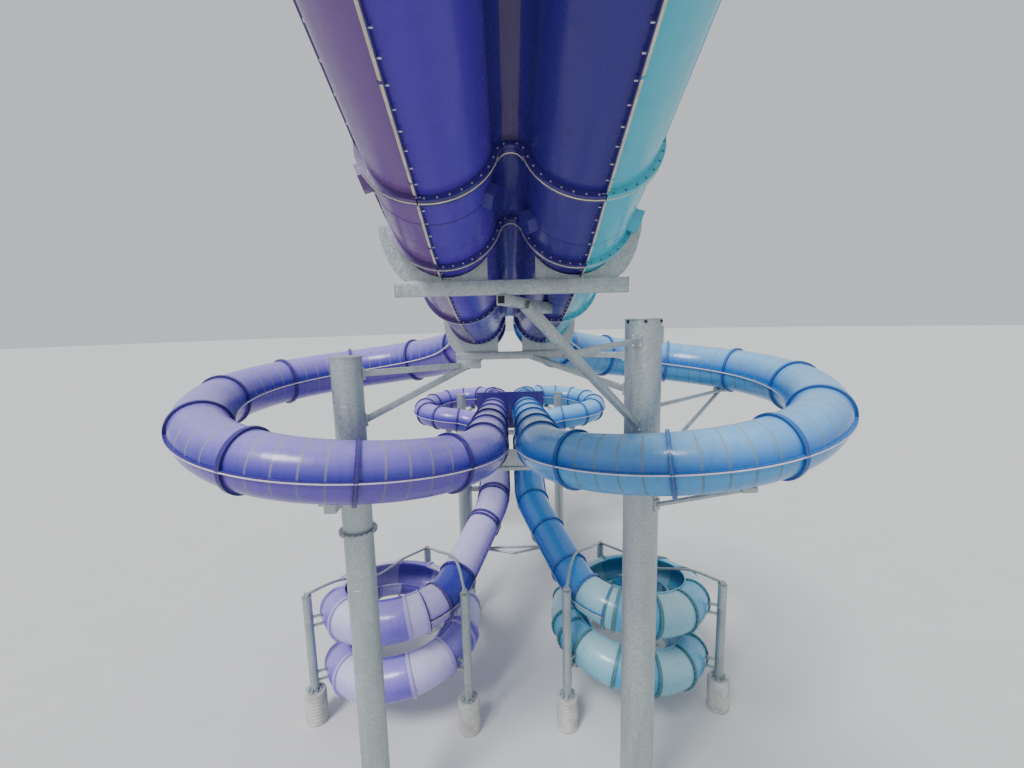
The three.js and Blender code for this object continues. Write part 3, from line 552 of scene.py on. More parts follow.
    def piece(self, name, finishes, slot, nodes=()):
        mesh = bpy.data.meshes.new(name)
        self.bm.to_mesh(mesh)
        self.bm.free()
        for finish in finishes:
            mesh.materials.append(finish)
        mesh.shade_smooth()
        mesh.set_sharp_from_angle(angle=SHARP)
        made = bpy.data.objects.new(name, mesh)
        bpy.context.scene.collection.objects.link(made)
        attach(made, "root")
        if nodes:
            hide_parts(*nodes)
        return made


BODY, STRIPE, RING, SEAM, BOLT = range(5)


def on_ring(radius, degrees, y):
    turn = math.radians(degrees)
    return (radius * math.cos(turn), y, radius * math.sin(turn))


def joint_rings(
    build, joints, start, stop, low, high, radius=TUBE_R, bolt_step=15.0, bolted=True, bolt_size=0.6
):
    """A pair of bolted flanges at each joint; at an end of the piece only its own flange."""
    steps = max(2, round(abs(high - low) / 180 * HALF_STEPS))
    for joint in joints:
        if not start - TINY <= joint <= stop + TINY:
            continue
        sides = []
        if joint > start + TINY:
            sides.append(-1)
        if joint < stop - TINY:
            sides.append(1)
        for way in sides:
            first, last = sorted((joint + way * JOINT_GAP, joint + way * JOINT_HALF))
            ring = draw_band(radius - WALL / 2, radius + FLANGE, low, high, steps, first)
            build.add(push_down(ring, [first, last]), RING)
            if not bolted:
                continue
            count = max(1, int(abs(high - low) / bolt_step))
            angles = [low + (i + 0.5) * (high - low) / count for i in range(count)]
            face_y = joint + way * JOINT_HALF
            spots = [(on_ring(radius + 0.6 * FLANGE, a, face_y), (0, way, 0)) for a in angles]
            build.bolts(BOLT, spots, bolt_size)
        if len(sides) == 2:
            bead = draw_band(radius, radius + 0.85 * FLANGE, low, high, steps, joint - JOINT_GAP)
            build.add(push_down(bead, [joint - JOINT_GAP, joint + JOINT_GAP]), SEAM)


def spread(start, stop, step):
    """Places spread evenly over a length, about a step apart."""
    count = int((stop - start) / step)
    return [start + (i + 0.5) * (stop - start) / count for i in range(count)]


def seam_flanges(build, start, stop, stations, number, depth, bolt_step=0.3):
    """The lengthwise flanges of an upper half shell, bolted to the lower one's."""
    for side in (-1, 1):
        x0, x1 = sorted((side * (TUBE_R - WALL / 2), side * (TUBE_R + FLANGE)))
        bar = draw_bar(x0, x1, SEAM_GAP, SEAM_GAP + depth, stations[0])
        build.add(push_down(bar, stations), number)
        x = side * (TUBE_R + 0.55 * FLANGE)
        places = [(x, y, SEAM_GAP + depth) for y in spread(start, stop, bolt_step)]
        build.bolts(BOLT, [(place, (0, 0, 1)) for place in places], 0.7)


def half_shell(start, stop, joints, marks, finish_at, upper):
    """A half shell with joint rings and seam flanges; its finish can change only at the marks."""
    stations = stations_between(start, stop, marks)
    low = math.degrees(math.asin(SEAM_GAP / TUBE_R))
    build = Build()
    wall = draw_band(TUBE_R - WALL, TUBE_R, low, 180 - low, HALF_STEPS, start)
    build.add(push_down(wall, stations), finish_at)
    joint_rings(build, joints, start, stop, low, 180 - low)
    seam = (RING, UPPER_SEAM_T) if upper else (SEAM, LOWER_SEAM_T)
    seam_flanges(build, start, stop, stations, *seam)
    if not upper:
        build.flip_down()
    return build


def striped_shell(start, stop, joints, stripes, upper):
    def finish_at(middle):
        return STRIPE if any(a < middle.y < b for a, b in stripes) else BODY

    edges = [edge for stripe in stripes for edge in stripe]
    return half_shell(start, stop, joints, edges, finish_at, upper)


def stripes_in(start, stop, count, width=0.042, spacing=0.46):
    """Evenly spaced cross stripes, centred between two joints."""
    middle = (start + stop) / 2
    first = middle - spacing * (count - 1) / 2
    return [(first + i * spacing - width / 2, first + i * spacing + width / 2) for i in range(count)]


LOOP1_TURN = 36
LOOP1_JOINTS = [S_LOOP1 + arc_length(LOOP1_R, LOOP1_TURN * i) for i in range(11)]
RUN_JOINTS = [S_RUN2 + (S_LOOP2 - S_RUN2) * i / 8 for i in range(9)]
LOOP2_TURN = 30
LOOP2_JOINTS = [S_LOOP2 + arc_length(LOOP2_R, LOOP2_TURN * i) for i in range(13)]
STRIPES_IN_SECTOR = (0, 5, 5, 4, 4, 4, 4, 4, 4, 0)
STRIPES = [
    stripe
    for i, count in enumerate(STRIPES_IN_SECTOR)
    if count
    for stripe in stripes_in(LOOP1_JOINTS[i], LOOP1_JOINTS[i + 1], count)
]
SIDES = (
    ("left", 1, VIOLET, LOWER_VIOLET, FLANGE_VIOLET, OLIVE_VIOLET, "violet_gelcoat"),
    ("right", -1, SKY_BLUE, LOWER_BLUE, FLANGE_BLUE, OLIVE_BLUE, "sky_blue_gelcoat"),
)
for word, side, body, lower_body, ring, stripe, slot_name in SIDES:
    finishes = [body, stripe, ring, PALE_SEAM, ring]
    # the lower shells take the lighter copy, as painted reflection of the floor below
    lower_finishes = [lower_body, *finishes[1:]]
    runs = (
        ("wide_loop_first", S_SPLIT, S_LOOP1_HALF, [S_SPLIT] + LOOP1_JOINTS, STRIPES),
        ("wide_loop_second", S_LOOP1_HALF, S_RUN2, LOOP1_JOINTS, STRIPES),
        ("small_loop", S_LOOP2, S_BEND, LOOP2_JOINTS, ()),
    )
    for run, start, stop, joints, stripes in runs:
        for level, used in (("upper", finishes), ("lower", lower_finishes)):
            build = striped_shell(start, stop, joints, stripes, level == "upper")
            build.bend(side)
            node = f"{word}_{run}_{level}_shell"
            build.piece(f"{node}_gelcoat", used, slot_name, [node])
    build = striped_shell(S_RUN2, S_LOOP2, RUN_JOINTS, (), True)
    lower = striped_shell(S_RUN2, S_LOOP2, RUN_JOINTS, (), False)
    both = bpy.data.meshes.new("lower_half")
    lower.bm.to_mesh(both)
    lower.bm.free()
    build.bm.from_mesh(both)
    bpy.data.meshes.remove(both)
    build.bend(side)
    build.piece(f"{word}_long_run_gelcoat", finishes, slot_name, [f"{word}_long_run_tube"])

# The twin trough: outer panels, covers and the double middle panel
SEAM_DEG = 84
TROUGH_STATIONS = stations_between(0.0, S_SPLIT, TROUGH_JOINTS, 0.38)
TROUGH_BOLT_STEP = 9.4
EDGE_T = 0.012
STRIP_DEG = 3.2
TIE_STEP = 0.95
CLIP_STEP = 0.19
RINGS = [*TROUGH_JOINTS[:3], 8.58, 9.72, *TROUGH_JOINTS[5:]]  # two stand past the route's bends
LINED_RING = RINGS[4]  # a thin moulded line runs round each lane before this ring
LINE_BEFORE = {"left": 0.75, "right": 0.36}
PAD_R = 0.15
PAD_T = 0.13
PAD_LIFT = 0.05
PAD_HOLES = ((0.06, 0.0), (-0.06, 0.0), (0.0, 0.06))
OUTER_PAD_AT = {"left": 8.74, "right": 9.5}


def lug_pad(build, number, hole, angle, y, x=0.0):
    """A six-sided lifting pad on the shell of the lane at x, with dark discs on it as painted shade for its
    bolt holes.
    """
    out = Vector(on_ring(1, angle, 0))
    turn = out.to_track_quat("Z", "Y").to_matrix().to_4x4()
    spot = Vector(on_ring(TUBE_R + PAD_LIFT, angle, y)) + Vector((x, 0, 0))
    build.cone(number, Matrix.Translation(spot) @ turn, PAD_R, PAD_T, 6)
    across = Vector((0, 1, 0)).cross(out)
    for forward, side in PAD_HOLES:
        hole_spot = spot + forward * Vector((0, 1, 0)) + side * across + PAD_T / 2 * out
        build.cone(hole, Matrix.Translation(hole_spot) @ turn, 0.014, 0.004, 10)


def trough_seam(build, inner_side):
    """The lengthwise seam: a cream strip with ties outside it, or a bolted flange inside it."""
    if inner_side:
        low, high = -SEAM_DEG - 1.1, -SEAM_DEG - 0.2
        flange = draw_band(TUBE_R - WALL / 2, TUBE_R + 0.05, low, high, 1, 0.0)
        build.add(push_down(flange, TROUGH_STATIONS), RING)
        for y in spread(0.0, S_SPLIT, CLIP_STEP):
            x, _, z = on_ring(TUBE_R + 0.032, low, y)
            build.plate(BOLT, (x - 0.028, y - 0.005, z - 0.006), (x + 0.028, y + 0.005, z + 0.006), 0.002)
        return
    strip = draw_band(TUBE_R, TUBE_R + 0.012, -SEAM_DEG + 0.2, -SEAM_DEG + STRIP_DEG, 2, 0.0)
    build.add(push_down(strip, TROUGH_STATIONS), SEAM)
    for y in spread(0.0, S_SPLIT, TIE_STEP):
        tie = draw_band(TUBE_R, TUBE_R + 0.02, -SEAM_DEG - 0.6, -SEAM_DEG + STRIP_DEG + 0.8, 3, y)
        build.add(push_down(tie, [y, y + 0.02]), RING)


def moulded_line(build, low, high, lane, x=0.0):
    """A thin raised line round a lane, as the mould leaves it."""
    y = LINED_RING - LINE_BEFORE[lane]
    line = draw_band(TUBE_R - 0.002, TUBE_R + 0.003, low, high, HALF_STEPS // 2, y)
    bmesh.ops.translate(line, vec=(x, 0, 0), verts=line.verts)
    build.add(push_down(line, [y, y + 0.014]), RING)


def trough_rings(build, low, high, bolted=True):
    joint_rings(build, RINGS, 0.0, S_SPLIT, low, high, bolt_step=TROUGH_BOLT_STEP, bolted=bolted)
    steps = max(2, round((high - low) / 180 * HALF_STEPS))
    for joint in RINGS[1:-1]:
        edge = draw_band(TUBE_R + 0.06, TUBE_R + FLANGE + 0.003, low, high, steps, joint)
        build.add(push_down(edge, [joint + JOINT_HALF, joint + JOINT_HALF + EDGE_T]), SEAM)


for word, outer, cover, outer_ring, ring, outer_slot, cover_slot in (
    ("left", MAUVE, VIOLET, FLANGE_MAUVE, FLANGE_VIOLET, "mauve_gelcoat", "violet_gelcoat"),
    ("right", TURQUOISE, SKY_BLUE, TURQUOISE, FLANGE_BLUE, "turquoise_gelcoat", "sky_blue_gelcoat"),
):
    build = Build()
    wall = draw_band(TUBE_R - WALL, TUBE_R, -SEAM_DEG + 0.1, -0.15, 14, 0.0)
    build.add(push_down(wall, TROUGH_STATIONS), BODY)
    trough_rings(build, -SEAM_DEG + 0.6, -1.6, word == "right")
    moulded_line(build, -SEAM_DEG + 0.6, -1.6, word)
    trough_seam(build, False)
    edge = draw_bar(TUBE_R - WALL / 2, TUBE_R + FLANGE, -SEAM_GAP - SEAM_T, -SEAM_GAP, 0.0)
    build.add(push_down(edge, TROUGH_STATIONS), RING)
    edge_places = [(TUBE_R + 0.04, y) for y in spread(0.0, S_SPLIT, 0.3)]
    build.bolts(BOLT, [((x, y, -SEAM_GAP - SEAM_T), (0, 0, -1)) for x, y in edge_places])
    lug_pad(build, BODY, STRIPE, -22, OUTER_PAD_AT[word])
    build.slide(TWIN_X)
    if word == "right":
        build.mirror()
    build.bend(0)
    finishes = [outer, HOLE_SHADE, outer_ring, SEALANT, TEAL if word == "right" else ZINC]
    build.piece(f"{word}_trough_outer_panel", finishes, outer_slot, [f"{word}_trough_outer_shell"])

    build = Build()
    wall = draw_band(TUBE_R - WALL, TUBE_R, 0.15, 179.85, HALF_STEPS, 0.0)
    build.add(push_down(wall, TROUGH_STATIONS), BODY)
    joint_rings(build, RINGS, 0.0, S_SPLIT, 1.6, 172)
    for x0, x1 in ((TUBE_R - WALL / 2, TUBE_R + FLANGE), (-TWIN_X + SEAM_GAP, -TUBE_R + WALL / 2)):
        edge = draw_bar(x0, x1, SEAM_GAP, SEAM_GAP + SEAM_T, 0.0)
        build.add(push_down(edge, TROUGH_STATIONS), RING)
    build.bolts(BOLT, [((x, y, SEAM_GAP + SEAM_T), (0, 0, 1)) for x, y in edge_places])
    build.slide(TWIN_X)
    if word == "right":
        build.mirror()
    build.bend(0)
    finishes = [cover, cover, ring, SEALANT, ZINC]
    build.piece(f"{word}_trough_cover_panel", finishes, cover_slot, [f"{word}_trough_cover"])

# RIGHT_BODY takes the darker deep violet: painted shade on the right lane, the web's flanks, the web past
# the fourth ring and the lug pads
RIGHT_BODY, WEB, HOLE = 5, 6, 7
ARCH_R = 0.205  # the web's underside is an arch that runs into both tubes
ARCH_DROP = math.sqrt((TUBE_R + ARCH_R) ** 2 - TWIN_X**2)
ARCH_DEG = math.degrees(math.atan2(ARCH_DROP, TWIN_X))
ARCH_EDGE_DEG = 64.0
ARCH_STEPS = 18
ARCH_BOLTS_DEG = (35, 65, 115, 145)


def draw_arch(inner, outer, low, high, y, steps=ARCH_STEPS):
    """A piece of the arch between the lanes."""
    part = draw_band(inner, outer, low, high, steps, y)
    bmesh.ops.translate(part, vec=(0, 0, -ARCH_DROP), verts=part.verts)
    return part


# outside the mauve band the web takes the darker deep violet, as painted shade under the trough
def web_finish(middle):
    return WEB if middle.y < RINGS[3] and abs(middle.x) < 0.09 else RIGHT_BODY


build = Build()
wall = draw_band(TUBE_R - WALL, TUBE_R, -178, -SEAM_DEG - 0.1, 14, 0.0)
build.add(push_down(wall, TROUGH_STATIONS), BODY)
trough_rings(build, ARCH_DEG - 180, -SEAM_DEG - 0.6)
trough_seam(build, True)
build.slide(TWIN_X)
build.double_across({BODY: RIGHT_BODY})
low, high = ARCH_DEG - 180, -SEAM_DEG - 0.6
moulded_line(build, low, high, "left", TWIN_X)
moulded_line(build, 180 - high, 180 - low, "right", -TWIN_X)
lug_pad(build, RIGHT_BODY, HOLE, -152, 8.98, TWIN_X)
lug_pad(build, RIGHT_BODY, HOLE, -28, 9.38, -TWIN_X)
web = draw_arch(ARCH_R, ARCH_R + WALL, ARCH_DEG, 180 - ARCH_DEG, 0.0)
build.add(push_down(web, TROUGH_STATIONS), web_finish)
for low in (ARCH_EDGE_DEG, 179.0 - ARCH_EDGE_DEG):
    line = draw_arch(ARCH_R - 0.004, ARCH_R + 0.001, low, low + 1.0, 0.0, 1)
    build.add(push_down(line, TROUGH_STATIONS), RING)
for joint in RINGS[1:-1]:
    for first, last, inner, outer, number in (
        (joint - JOINT_HALF, joint - JOINT_GAP, ARCH_R - FLANGE, ARCH_R + 0.01, RING),
        (joint + JOINT_GAP, joint + JOINT_HALF, ARCH_R - FLANGE, ARCH_R + 0.01, RING),
        (joint + JOINT_HALF, joint + JOINT_HALF + EDGE_T, ARCH_R - FLANGE - 0.003, ARCH_R - 0.06, SEAM),
    ):
        rail = draw_arch(inner, outer, ARCH_DEG, 180 - ARCH_DEG, first)
        build.add(push_down(rail, [first, last]), number)
    for way in (-1, 1):
        face_y = joint + way * JOINT_HALF
        places = [on_ring(ARCH_R - 0.6 * FLANGE, angle, face_y) for angle in ARCH_BOLTS_DEG]
        build.bolts(BOLT, [((x, y, z - ARCH_DROP), (0, way, 0)) for x, y, z in places], 0.6)
build.bend(0)
finishes = [
    TROUGH_VIOLET, TROUGH_VIOLET, FLANGE_VIOLET, SEALANT, ZINC, DEEP_VIOLET, WEB_MAUVE, HOLE_SHADE
]
build.piece("trough_middle_panel", finishes, "deep_violet_gelcoat", ["trough_middle_shell"])

# The drops, from the second bend of the small loop to the hood of the helix
FIRST_JOINT_TURN = {"left": 73.0, "right": 67.0}
SECTION_TURN = 30.0


def helix_station(turn):
    return S_HELIX + arc_length(HELIX_R, turn - ENTRY_TURN)


HELIX_JOINTS = {
    word: [helix_station(first + SECTION_TURN * k) for k in range(-2, 16)]
    for word, first in FIRST_JOINT_TURN.items()
}
BEND_JOINTS = [joint for joint in LOOP2_JOINTS if S_BEND - TINY < joint < S_DROP + TINY]
UPPER_END = S_DROP + 1.1
DROP_PAIRS = [S_DROP + lift + gap for lift in (1.1, 2.6, 4.3, 6.0) for gap in (0.0, 0.19)]
DROP_SINGLES = [S_DROP + lift for lift in (1.1, 2.9, 4.8, 6.6)]
MID, UPPER = STRIPE, 5
for word, side, tube, mid, ring, upper, rings, slot_name in (
    ("left", 1, LAVENDER, BLUE_VIOLET, FLANGE_VIOLET, VIOLET, DROP_PAIRS, "lavender_gelcoat"),
    ("right", -1, DEEP_BLUE, AQUA, FLANGE_BLUE, SKY_BLUE, DROP_SINGLES, "deep_blue_gelcoat"),
):
    collar, hood = HELIX_JOINTS[word][:2]
    joints = BEND_JOINTS + rings + [collar, hood, S_HOOD]

    def drop_finish(middle):
        if middle.y < UPPER_END:
            return UPPER
        if side > 0:
            return MID if collar < middle.y < hood else BODY
        return MID if middle.y > hood else BODY

    for level in ("upper", "lower"):
        marks = [UPPER_END, collar, hood]
        build = half_shell(S_BEND, S_HOOD, joints, marks, drop_finish, level == "upper")
        build.bend(side)
        node = f"{word}_drop_{level}_shell"
        finishes = [tube, mid, ring, SEALANT, ZINC, upper]
        build.piece(f"{node}_gelcoat", finishes, slot_name, [node])

# The open helices: a round flume with a long slot towards the hub, in sections of two colours
SLOT_FROM, SLOT_TO = 102.0, 172.0
RIM = 0.06
RIM_DEG = 2.0
third = (S_RUN_OUT - S_HOOD) / 3
helix_ends = [S_HOOD, S_HOOD + third, S_HOOD + 2 * third, S_END]
for word, side, pale, mid, ring, slot_name in (
    ("left", 1, PALE_LAVENDER, MID_VIOLET, LAVENDER, "lavender_gelcoat"),
    ("right", -1, AQUA, MID_BLUE, TEAL, "aqua_gelcoat"),
):
    joints_here = HELIX_JOINTS[word]

    def section_finish(middle):
        k = math.floor((middle.y - joints_here[2]) / arc_length(HELIX_R, SECTION_TURN) + TINY)
        return MID if k % 2 == 0 and k >= 0 else BODY

    for i, part_word in enumerate(("upper", "middle", "lower")):
        start, stop = helix_ends[i : i + 2]
        stations = stations_between(start, stop, joints_here, 0.17)
        build = Build()
        wall = draw_band(OPEN_R - WALL, OPEN_R, SLOT_TO - 360, SLOT_FROM, 40, start)
        build.add(push_down(wall, stations), section_finish)
        for low, high in ((SLOT_FROM - RIM_DEG, SLOT_FROM), (SLOT_TO - 360, SLOT_TO - 360 + RIM_DEG)):
            rim = draw_band(OPEN_R - WALL / 2, OPEN_R + RIM, low, high, 1, start)
            build.add(push_down(rim, stations), section_finish)
        joints = [start, *joints_here[2:], stop]
        low, high = SLOT_TO - 360 + 3, SLOT_FROM - 3
        joint_rings(build, joints, start, stop, low, high, radius=OPEN_R, bolt_step=14.0)
        build.bend(side)
        node = f"{word}_helix_{part_word}_flume"
        finishes = [pale, mid, ring, SEALANT, ZINC]
        build.piece(f"{node}_gelcoat", finishes, slot_name, [node])

# Steelwork, placed in the frame without bending
# VOID is painted shade, for holes and open ends
METAL, NUT, VOID = range(3)
STEEL_FINISHES = [STEEL, ZINC, HOLE_SHADE]
SEAT_R = 0.71
BASE_T = 0.05
BASE_LEDGE = 0.24
GUSSET = 0.3
SPLICE_LEDGE = 0.108
SPLICE_T = 0.03
WELD_STEP = 2.4
SHOE_T = 0.05
SHOE_EDGE = 0.03
ARM = 0.15
LEVEL_BAR = 0.12
STRUT_R = 0.06
BEAM = 0.2
CAP_LIP = 0.004
SADDLE_T = 0.04
SADDLE_FROM = 0.33
SADDLE_TOP = 0.045
HANDS = (("left", 1), ("right", -1))


def bottom_at(distance):
    return height_at(distance) - SEAT_R


def put(x, y, z, degrees=0.0):
    """A place in the frame, turned about the upright axis."""
    return Matrix.Translation((x, y, z)) @ Matrix.Rotation(math.radians(degrees), 4, "Z")


def steel_piece(build, node, side=1):
    """Ends a piece that is drawn for the left side; side -1 turns it into the right one."""
    if side < 0:
        build.mirror()
    build.piece(f"{node}_galvanised", STEEL_FINISHES, "galvanised_steel", [node])


def nuts(build, places, size=1.0, way=1):
    """Bolt heads on a level face that looks up, or down with way -1."""
    build.bolts(NUT, [(place, (0, 0, way)) for place in places], size)


def draw_fins(build, outline, thickness, foot, radius):
    """Eight upright fins round a pipe, on its foot plate."""
    for turn in range(0, 360, 45):
        place = put(*foot, turn) @ Matrix.Translation((radius, 0, 0))
        build.cutout(METAL, outline, thickness, place)


def draw_column(build, column, top, splice=None):
    """A pipe with weld beads, a capped top, a bolted splice and a gusseted base plate."""
    x, y, radius = column["x"], column["y"], column["radius"]
    wall = radius - 0.003
    ledge = wall + SPLICE_LEDGE
    marks = [(z, "weld") for z in spread(BASE_T, top, WELD_STEP) if not splice or abs(z - splice) > 0.4]
    if splice:
        marks.append((splice, "splice"))
    profile = [(0, BASE_T / 2), (wall, BASE_T / 2)]
    for z, kind in sorted(marks):
        if kind == "weld":
            profile += [(wall, z - 0.009), (wall + 0.004, z - 0.004)]
            profile += [(wall + 0.004, z + 0.004), (wall, z + 0.009)]
        else:
            profile += [(wall, z - SPLICE_T), (ledge, z - SPLICE_T), (ledge, z - 0.003), (ledge - 0.012, z)]
            profile += [(ledge, z + 0.003), (ledge, z + SPLICE_T), (wall, z + SPLICE_T)]
    cap = radius + 0.018
    profile += [(wall, top - 0.02), (cap, top - 0.02), (cap, top - 0.004)]
    profile += [(radius + 0.012, top - 0.001), (0, top - 0.001)]
    build.turned(METAL, profile, x, y)
    if splice:
        bolts_r = 0.94 * ledge
        for way in (-1, 1):
            face = splice + way * SPLICE_T
            places = [(x + bolts_r * c, y + bolts_r * s, face) for c, s in circle_of(20)]
            nuts(build, places, 1.5, way)
    half = radius + BASE_LEDGE
    build.plate(METAL, (x - half, y - half, 0.0), (x + half, y + half, BASE_T), 0.006)
    reach = 0.8 * BASE_LEDGE
    fin = [(0, 0), (reach, 0), (reach, 0.05), (0.04, GUSSET), (0, GUSSET)]
    draw_fins(build, fin, 0.02, (x, y, BASE_T), wall - 0.004)
    out = half - 0.08
    anchors = [(x + a * out, y + b * out, BASE_T) for a in (-1, 0, 1) for b in (-1, 0, 1) if a or b]
    nuts(build, anchors, 2.6)


def circle_of(count, first=0.0):
    """Cosines and sines of places spread evenly round a circle, from an angle in degrees."""
    turns = [math.radians(first + 360 * i / count) for i in range(count)]
    return [(math.cos(turn), math.sin(turn)) for turn in turns]


def shoe(build, column, aim, z, width=0.24, height=0.3):
    """A bolted shoe on a column where a bar meets it."""
    way = Vector((aim[0] - column["x"], aim[1] - column["y"], 0)).normalized()
    turn = math.degrees(math.atan2(way.y, way.x))
    middle = Vector((column["x"], column["y"], z)) + way * (column["radius"] + 0.006)
    side = Vector((-way.y, way.x, 0))
    corners = [(a * width / 2, b * height / 2) for a, b in ((-1, -1), (1, -1), (1, 1), (-1, 1))]
    build.cutout(METAL, corners, SHOE_T, put(*middle, turn + 90))
    face = middle + way * (SHOE_T / 2)
    out, rise = width / 2 - SHOE_EDGE, height / 2 - SHOE_EDGE
    spots = [face + a * out * side + Vector((0, 0, b * rise)) for a in (-1, 1) for b in (-1, 1)]
    build.bolts(NUT, [(spot, way) for spot in spots], 1.3)


def arm(build, start, column, z, size=ARM, round_bar=False):
    """A bar from a place to a column's face, ending on a shoe."""
    start, axis = Vector(start), Vector((column["x"], column["y"], z))
    run = math.hypot(axis.x - start.x, axis.y - start.y)
    end = start.lerp(axis, 1 - (column["radius"] - 0.01) / run)
    if round_bar:
        build.pipe(METAL, start, end, STRUT_R)
    else:
        build.bar(METAL, start, end, size, size)
    shoe(build, column, start, end.z)


def seat_plate(build, x, y, z):
    """A square plate right under a tube, for the ends of arms."""
    build.plate(METAL, (x - 0.17, y - 0.17, z - 0.12), (x + 0.17, y + 0.17, z - 0.002), 0.008)


def saddle_outline(lift, steepness):
    """A saddle plate of one side: x from the middle plane and z from the top of its beam."""
    height = lift + SEAT_R - SADDLE_TOP
    seat = SEAT_R + 0.004
    tall = math.hypot(1, steepness)
    first = -math.asin(SADDLE_TOP / seat)
    last = -math.pi + math.acos((TWIN_X - SADDLE_FROM) / seat)
    turns = [first + (last - first) * i / 28 for i in range(29)]
    centre = height + SADDLE_TOP
    scallop = [(TWIN_X + seat * math.cos(turn), centre + tall * seat * math.sin(turn)) for turn in turns]
    rim = [(1.46, 0.0), (1.545, 0.07), (1.62, 0.17), (1.68, 0.28), (1.72, 0.38), (1.76, 0.53)]
    return [(SADDLE_FROM, 0.0), *rim, (1.787, height - 0.12), (1.787, height), *scallop]


def draw_crossbeam(build, y, s, half, lift):
    """A square beam with a saddle plate at each side, on bolted foot strips."""
    top = bottom_at(s) - lift
    steepness = (height_at(s + 0.05) - height_at(s - 0.05)) / 0.1
    build.plate(METAL, (-half, y - BEAM / 2, top - BEAM), (half, y + BEAM / 2, top), 0.012)
    outline = saddle_outline(lift, steepness)
    for way in (1, -1):
        flipped = [(way * x, z) for x, z in outline]
        build.cutout(METAL, flipped[::way], SADDLE_T, put(0, y, top))
        x0, x1 = sorted((way * (SADDLE_FROM + 0.03), way * 1.4))
        for foot in (-1, 1):
            y0, y1 = sorted((y + foot * SADDLE_T / 2, y + foot * 0.085))
            build.plate(METAL, (x0, y0, top), (x1, y1, top + 0.012), 0.002)
            nuts(build, [(x, y + foot * 0.055, top + 0.012) for x in spread(x0, x1, 0.17)])
        end = way * half
        x0, x1 = sorted((end, end - way * 0.006))
        low = (x0, y - BEAM / 2 - CAP_LIP, top - BEAM - CAP_LIP)
        high = (x1, y + BEAM / 2 + CAP_LIP, top + CAP_LIP)
        build.plate(METAL, low, high, 0.002)
    return top


LEFT_COLUMN = {"x": -4.08, "y": 11.29 + SHIFT_Y, "radius": 0.381}
RIGHT_COLUMN = {"x": 3.35, "y": 11.5 + SHIFT_Y, "radius": 0.457}
FRONT_Y, SECOND_Y, HEAD_Y, REAR_Y = (y + SHIFT_Y for y in (6.44, 12.6, -2.45, 22.2))
HEAD_COLUMN = {"x": 0, "y": HEAD_Y, "radius": 0.381}
REAR_COLUMN = {"x": -2.4, "y": REAR_Y, "radius": 0.35}
HUB_COLUMN = {"x": -TWIN_X - LOOP2_R, "y": LOOP2_Y + SHIFT_Y, "radius": 0.305}
LEFT_TOP, RIGHT_TOP, HUB_TOP = 14.52, 15.27, 10.4
LEFT_SPLICE, HEAD_SPLICE = 10.0, 9.0
RIM_HOLES_Z = 15.2
BRACE_Z = 12.4
LEVEL_BAR_Z = 14.75


def trough_s(y):
    return y - SHIFT_Y - TOP_Y


# The front crossbeam on its box arm, with the long brace and the level bar
build = Build()
under = draw_crossbeam(build, FRONT_Y, trough_s(FRONT_Y), half=1.6, lift=0.09) - BEAM
near_end = Vector((-0.15, FRONT_Y - 0.13, under - 0.07))
far_end = Vector((0.59, FRONT_Y + 1.35, under - 0.15))
build.bar(METAL, near_end, far_end, ARM, ARM)
way = (far_end - near_end).normalized()
# a dark square on the arm's end as painted shade of its open box
build.bar(VOID, near_end - 0.001 * way, near_end + 0.02 * way, 0.115, 0.115)
build.bar(METAL, far_end, far_end + 0.016 * way, 0.21, 0.21)
brace_from = Vector((0.2, FRONT_Y + 0.45, under - 0.13))
brace_to = Vector((RIGHT_COLUMN["x"], RIGHT_COLUMN["y"], BRACE_Z))
arm(build, brace_from, RIGHT_COLUMN, BRACE_Z)
arm(build, brace_from.lerp(brace_to, 0.27), RIGHT_COLUMN, LEVEL_BAR_Z, LEVEL_BAR)
steel_piece(build, "front_crossbeam")

# The second crossbeam, run on to the right column and braced from both
build = Build()
top = draw_crossbeam(build, SECOND_Y, trough_s(SECOND_Y), half=1.5, lift=0.24)
under = top - BEAM
build.plate(METAL, (-1.48, SECOND_Y - 0.1, under - 0.24), (-0.82, SECOND_Y + 0.1, under), 0.008)
arm(build, (1.4, SECOND_Y, top - BEAM / 2), RIGHT_COLUMN, top - BEAM / 2)
arm(build, (-1.3, SECOND_Y, under - 0.15), LEFT_COLUMN, 14.06)
arm(build, (-1.25, SECOND_Y, under - 0.2), LEFT_COLUMN, 12.72)
arm(build, (0.56, SECOND_Y, under + 0.06), RIGHT_COLUMN, 13.33)
steel_piece(build, "second_crossbeam")

# The two front columns
build = Build()
draw_column(build, LEFT_COLUMN, LEFT_TOP, LEFT_SPLICE)
near_s = S_LOOP1 + arc_length(LOOP1_R, 270)
near_y = LOOP1_Y - LOOP1_R + SHIFT_Y
seat_z = bottom_at(near_s)
x = LEFT_COLUMN["x"]
bracket = (x - 0.13, near_y, seat_z - 0.33), (x + 0.13, LEFT_COLUMN["y"] - 0.36, seat_z - 0.11)
seat = (x - 0.21, near_y - 0.09, seat_z - 0.12), (x + 0.21, near_y + 0.21, seat_z - 0.002)
for low, high in (bracket, seat):
    build.plate(METAL, low, high, 0.008)
shoe(build, LEFT_COLUMN, (x, near_y), seat_z - 0.22, 0.36, 0.36)
steel_piece(build, "left_front_column")
build = Build()
draw_column(build, RIGHT_COLUMN, RIGHT_TOP)
for c, s in circle_of(6, 20):
    way = Vector((c, s, 0))
    rim_spot = Vector((RIGHT_COLUMN["x"], RIGHT_COLUMN["y"], RIM_HOLES_Z)) + 0.455 * way
    # dark washers and heads as painted shade for the rim holes
    build.bolts(VOID, [(rim_spot, way)], 2.2)
shoe(build, RIGHT_COLUMN, (10.0, RIGHT_COLUMN["y"] - 1.5), 14.86, 0.2, 0.42)
steel_piece(build, "right_front_column")

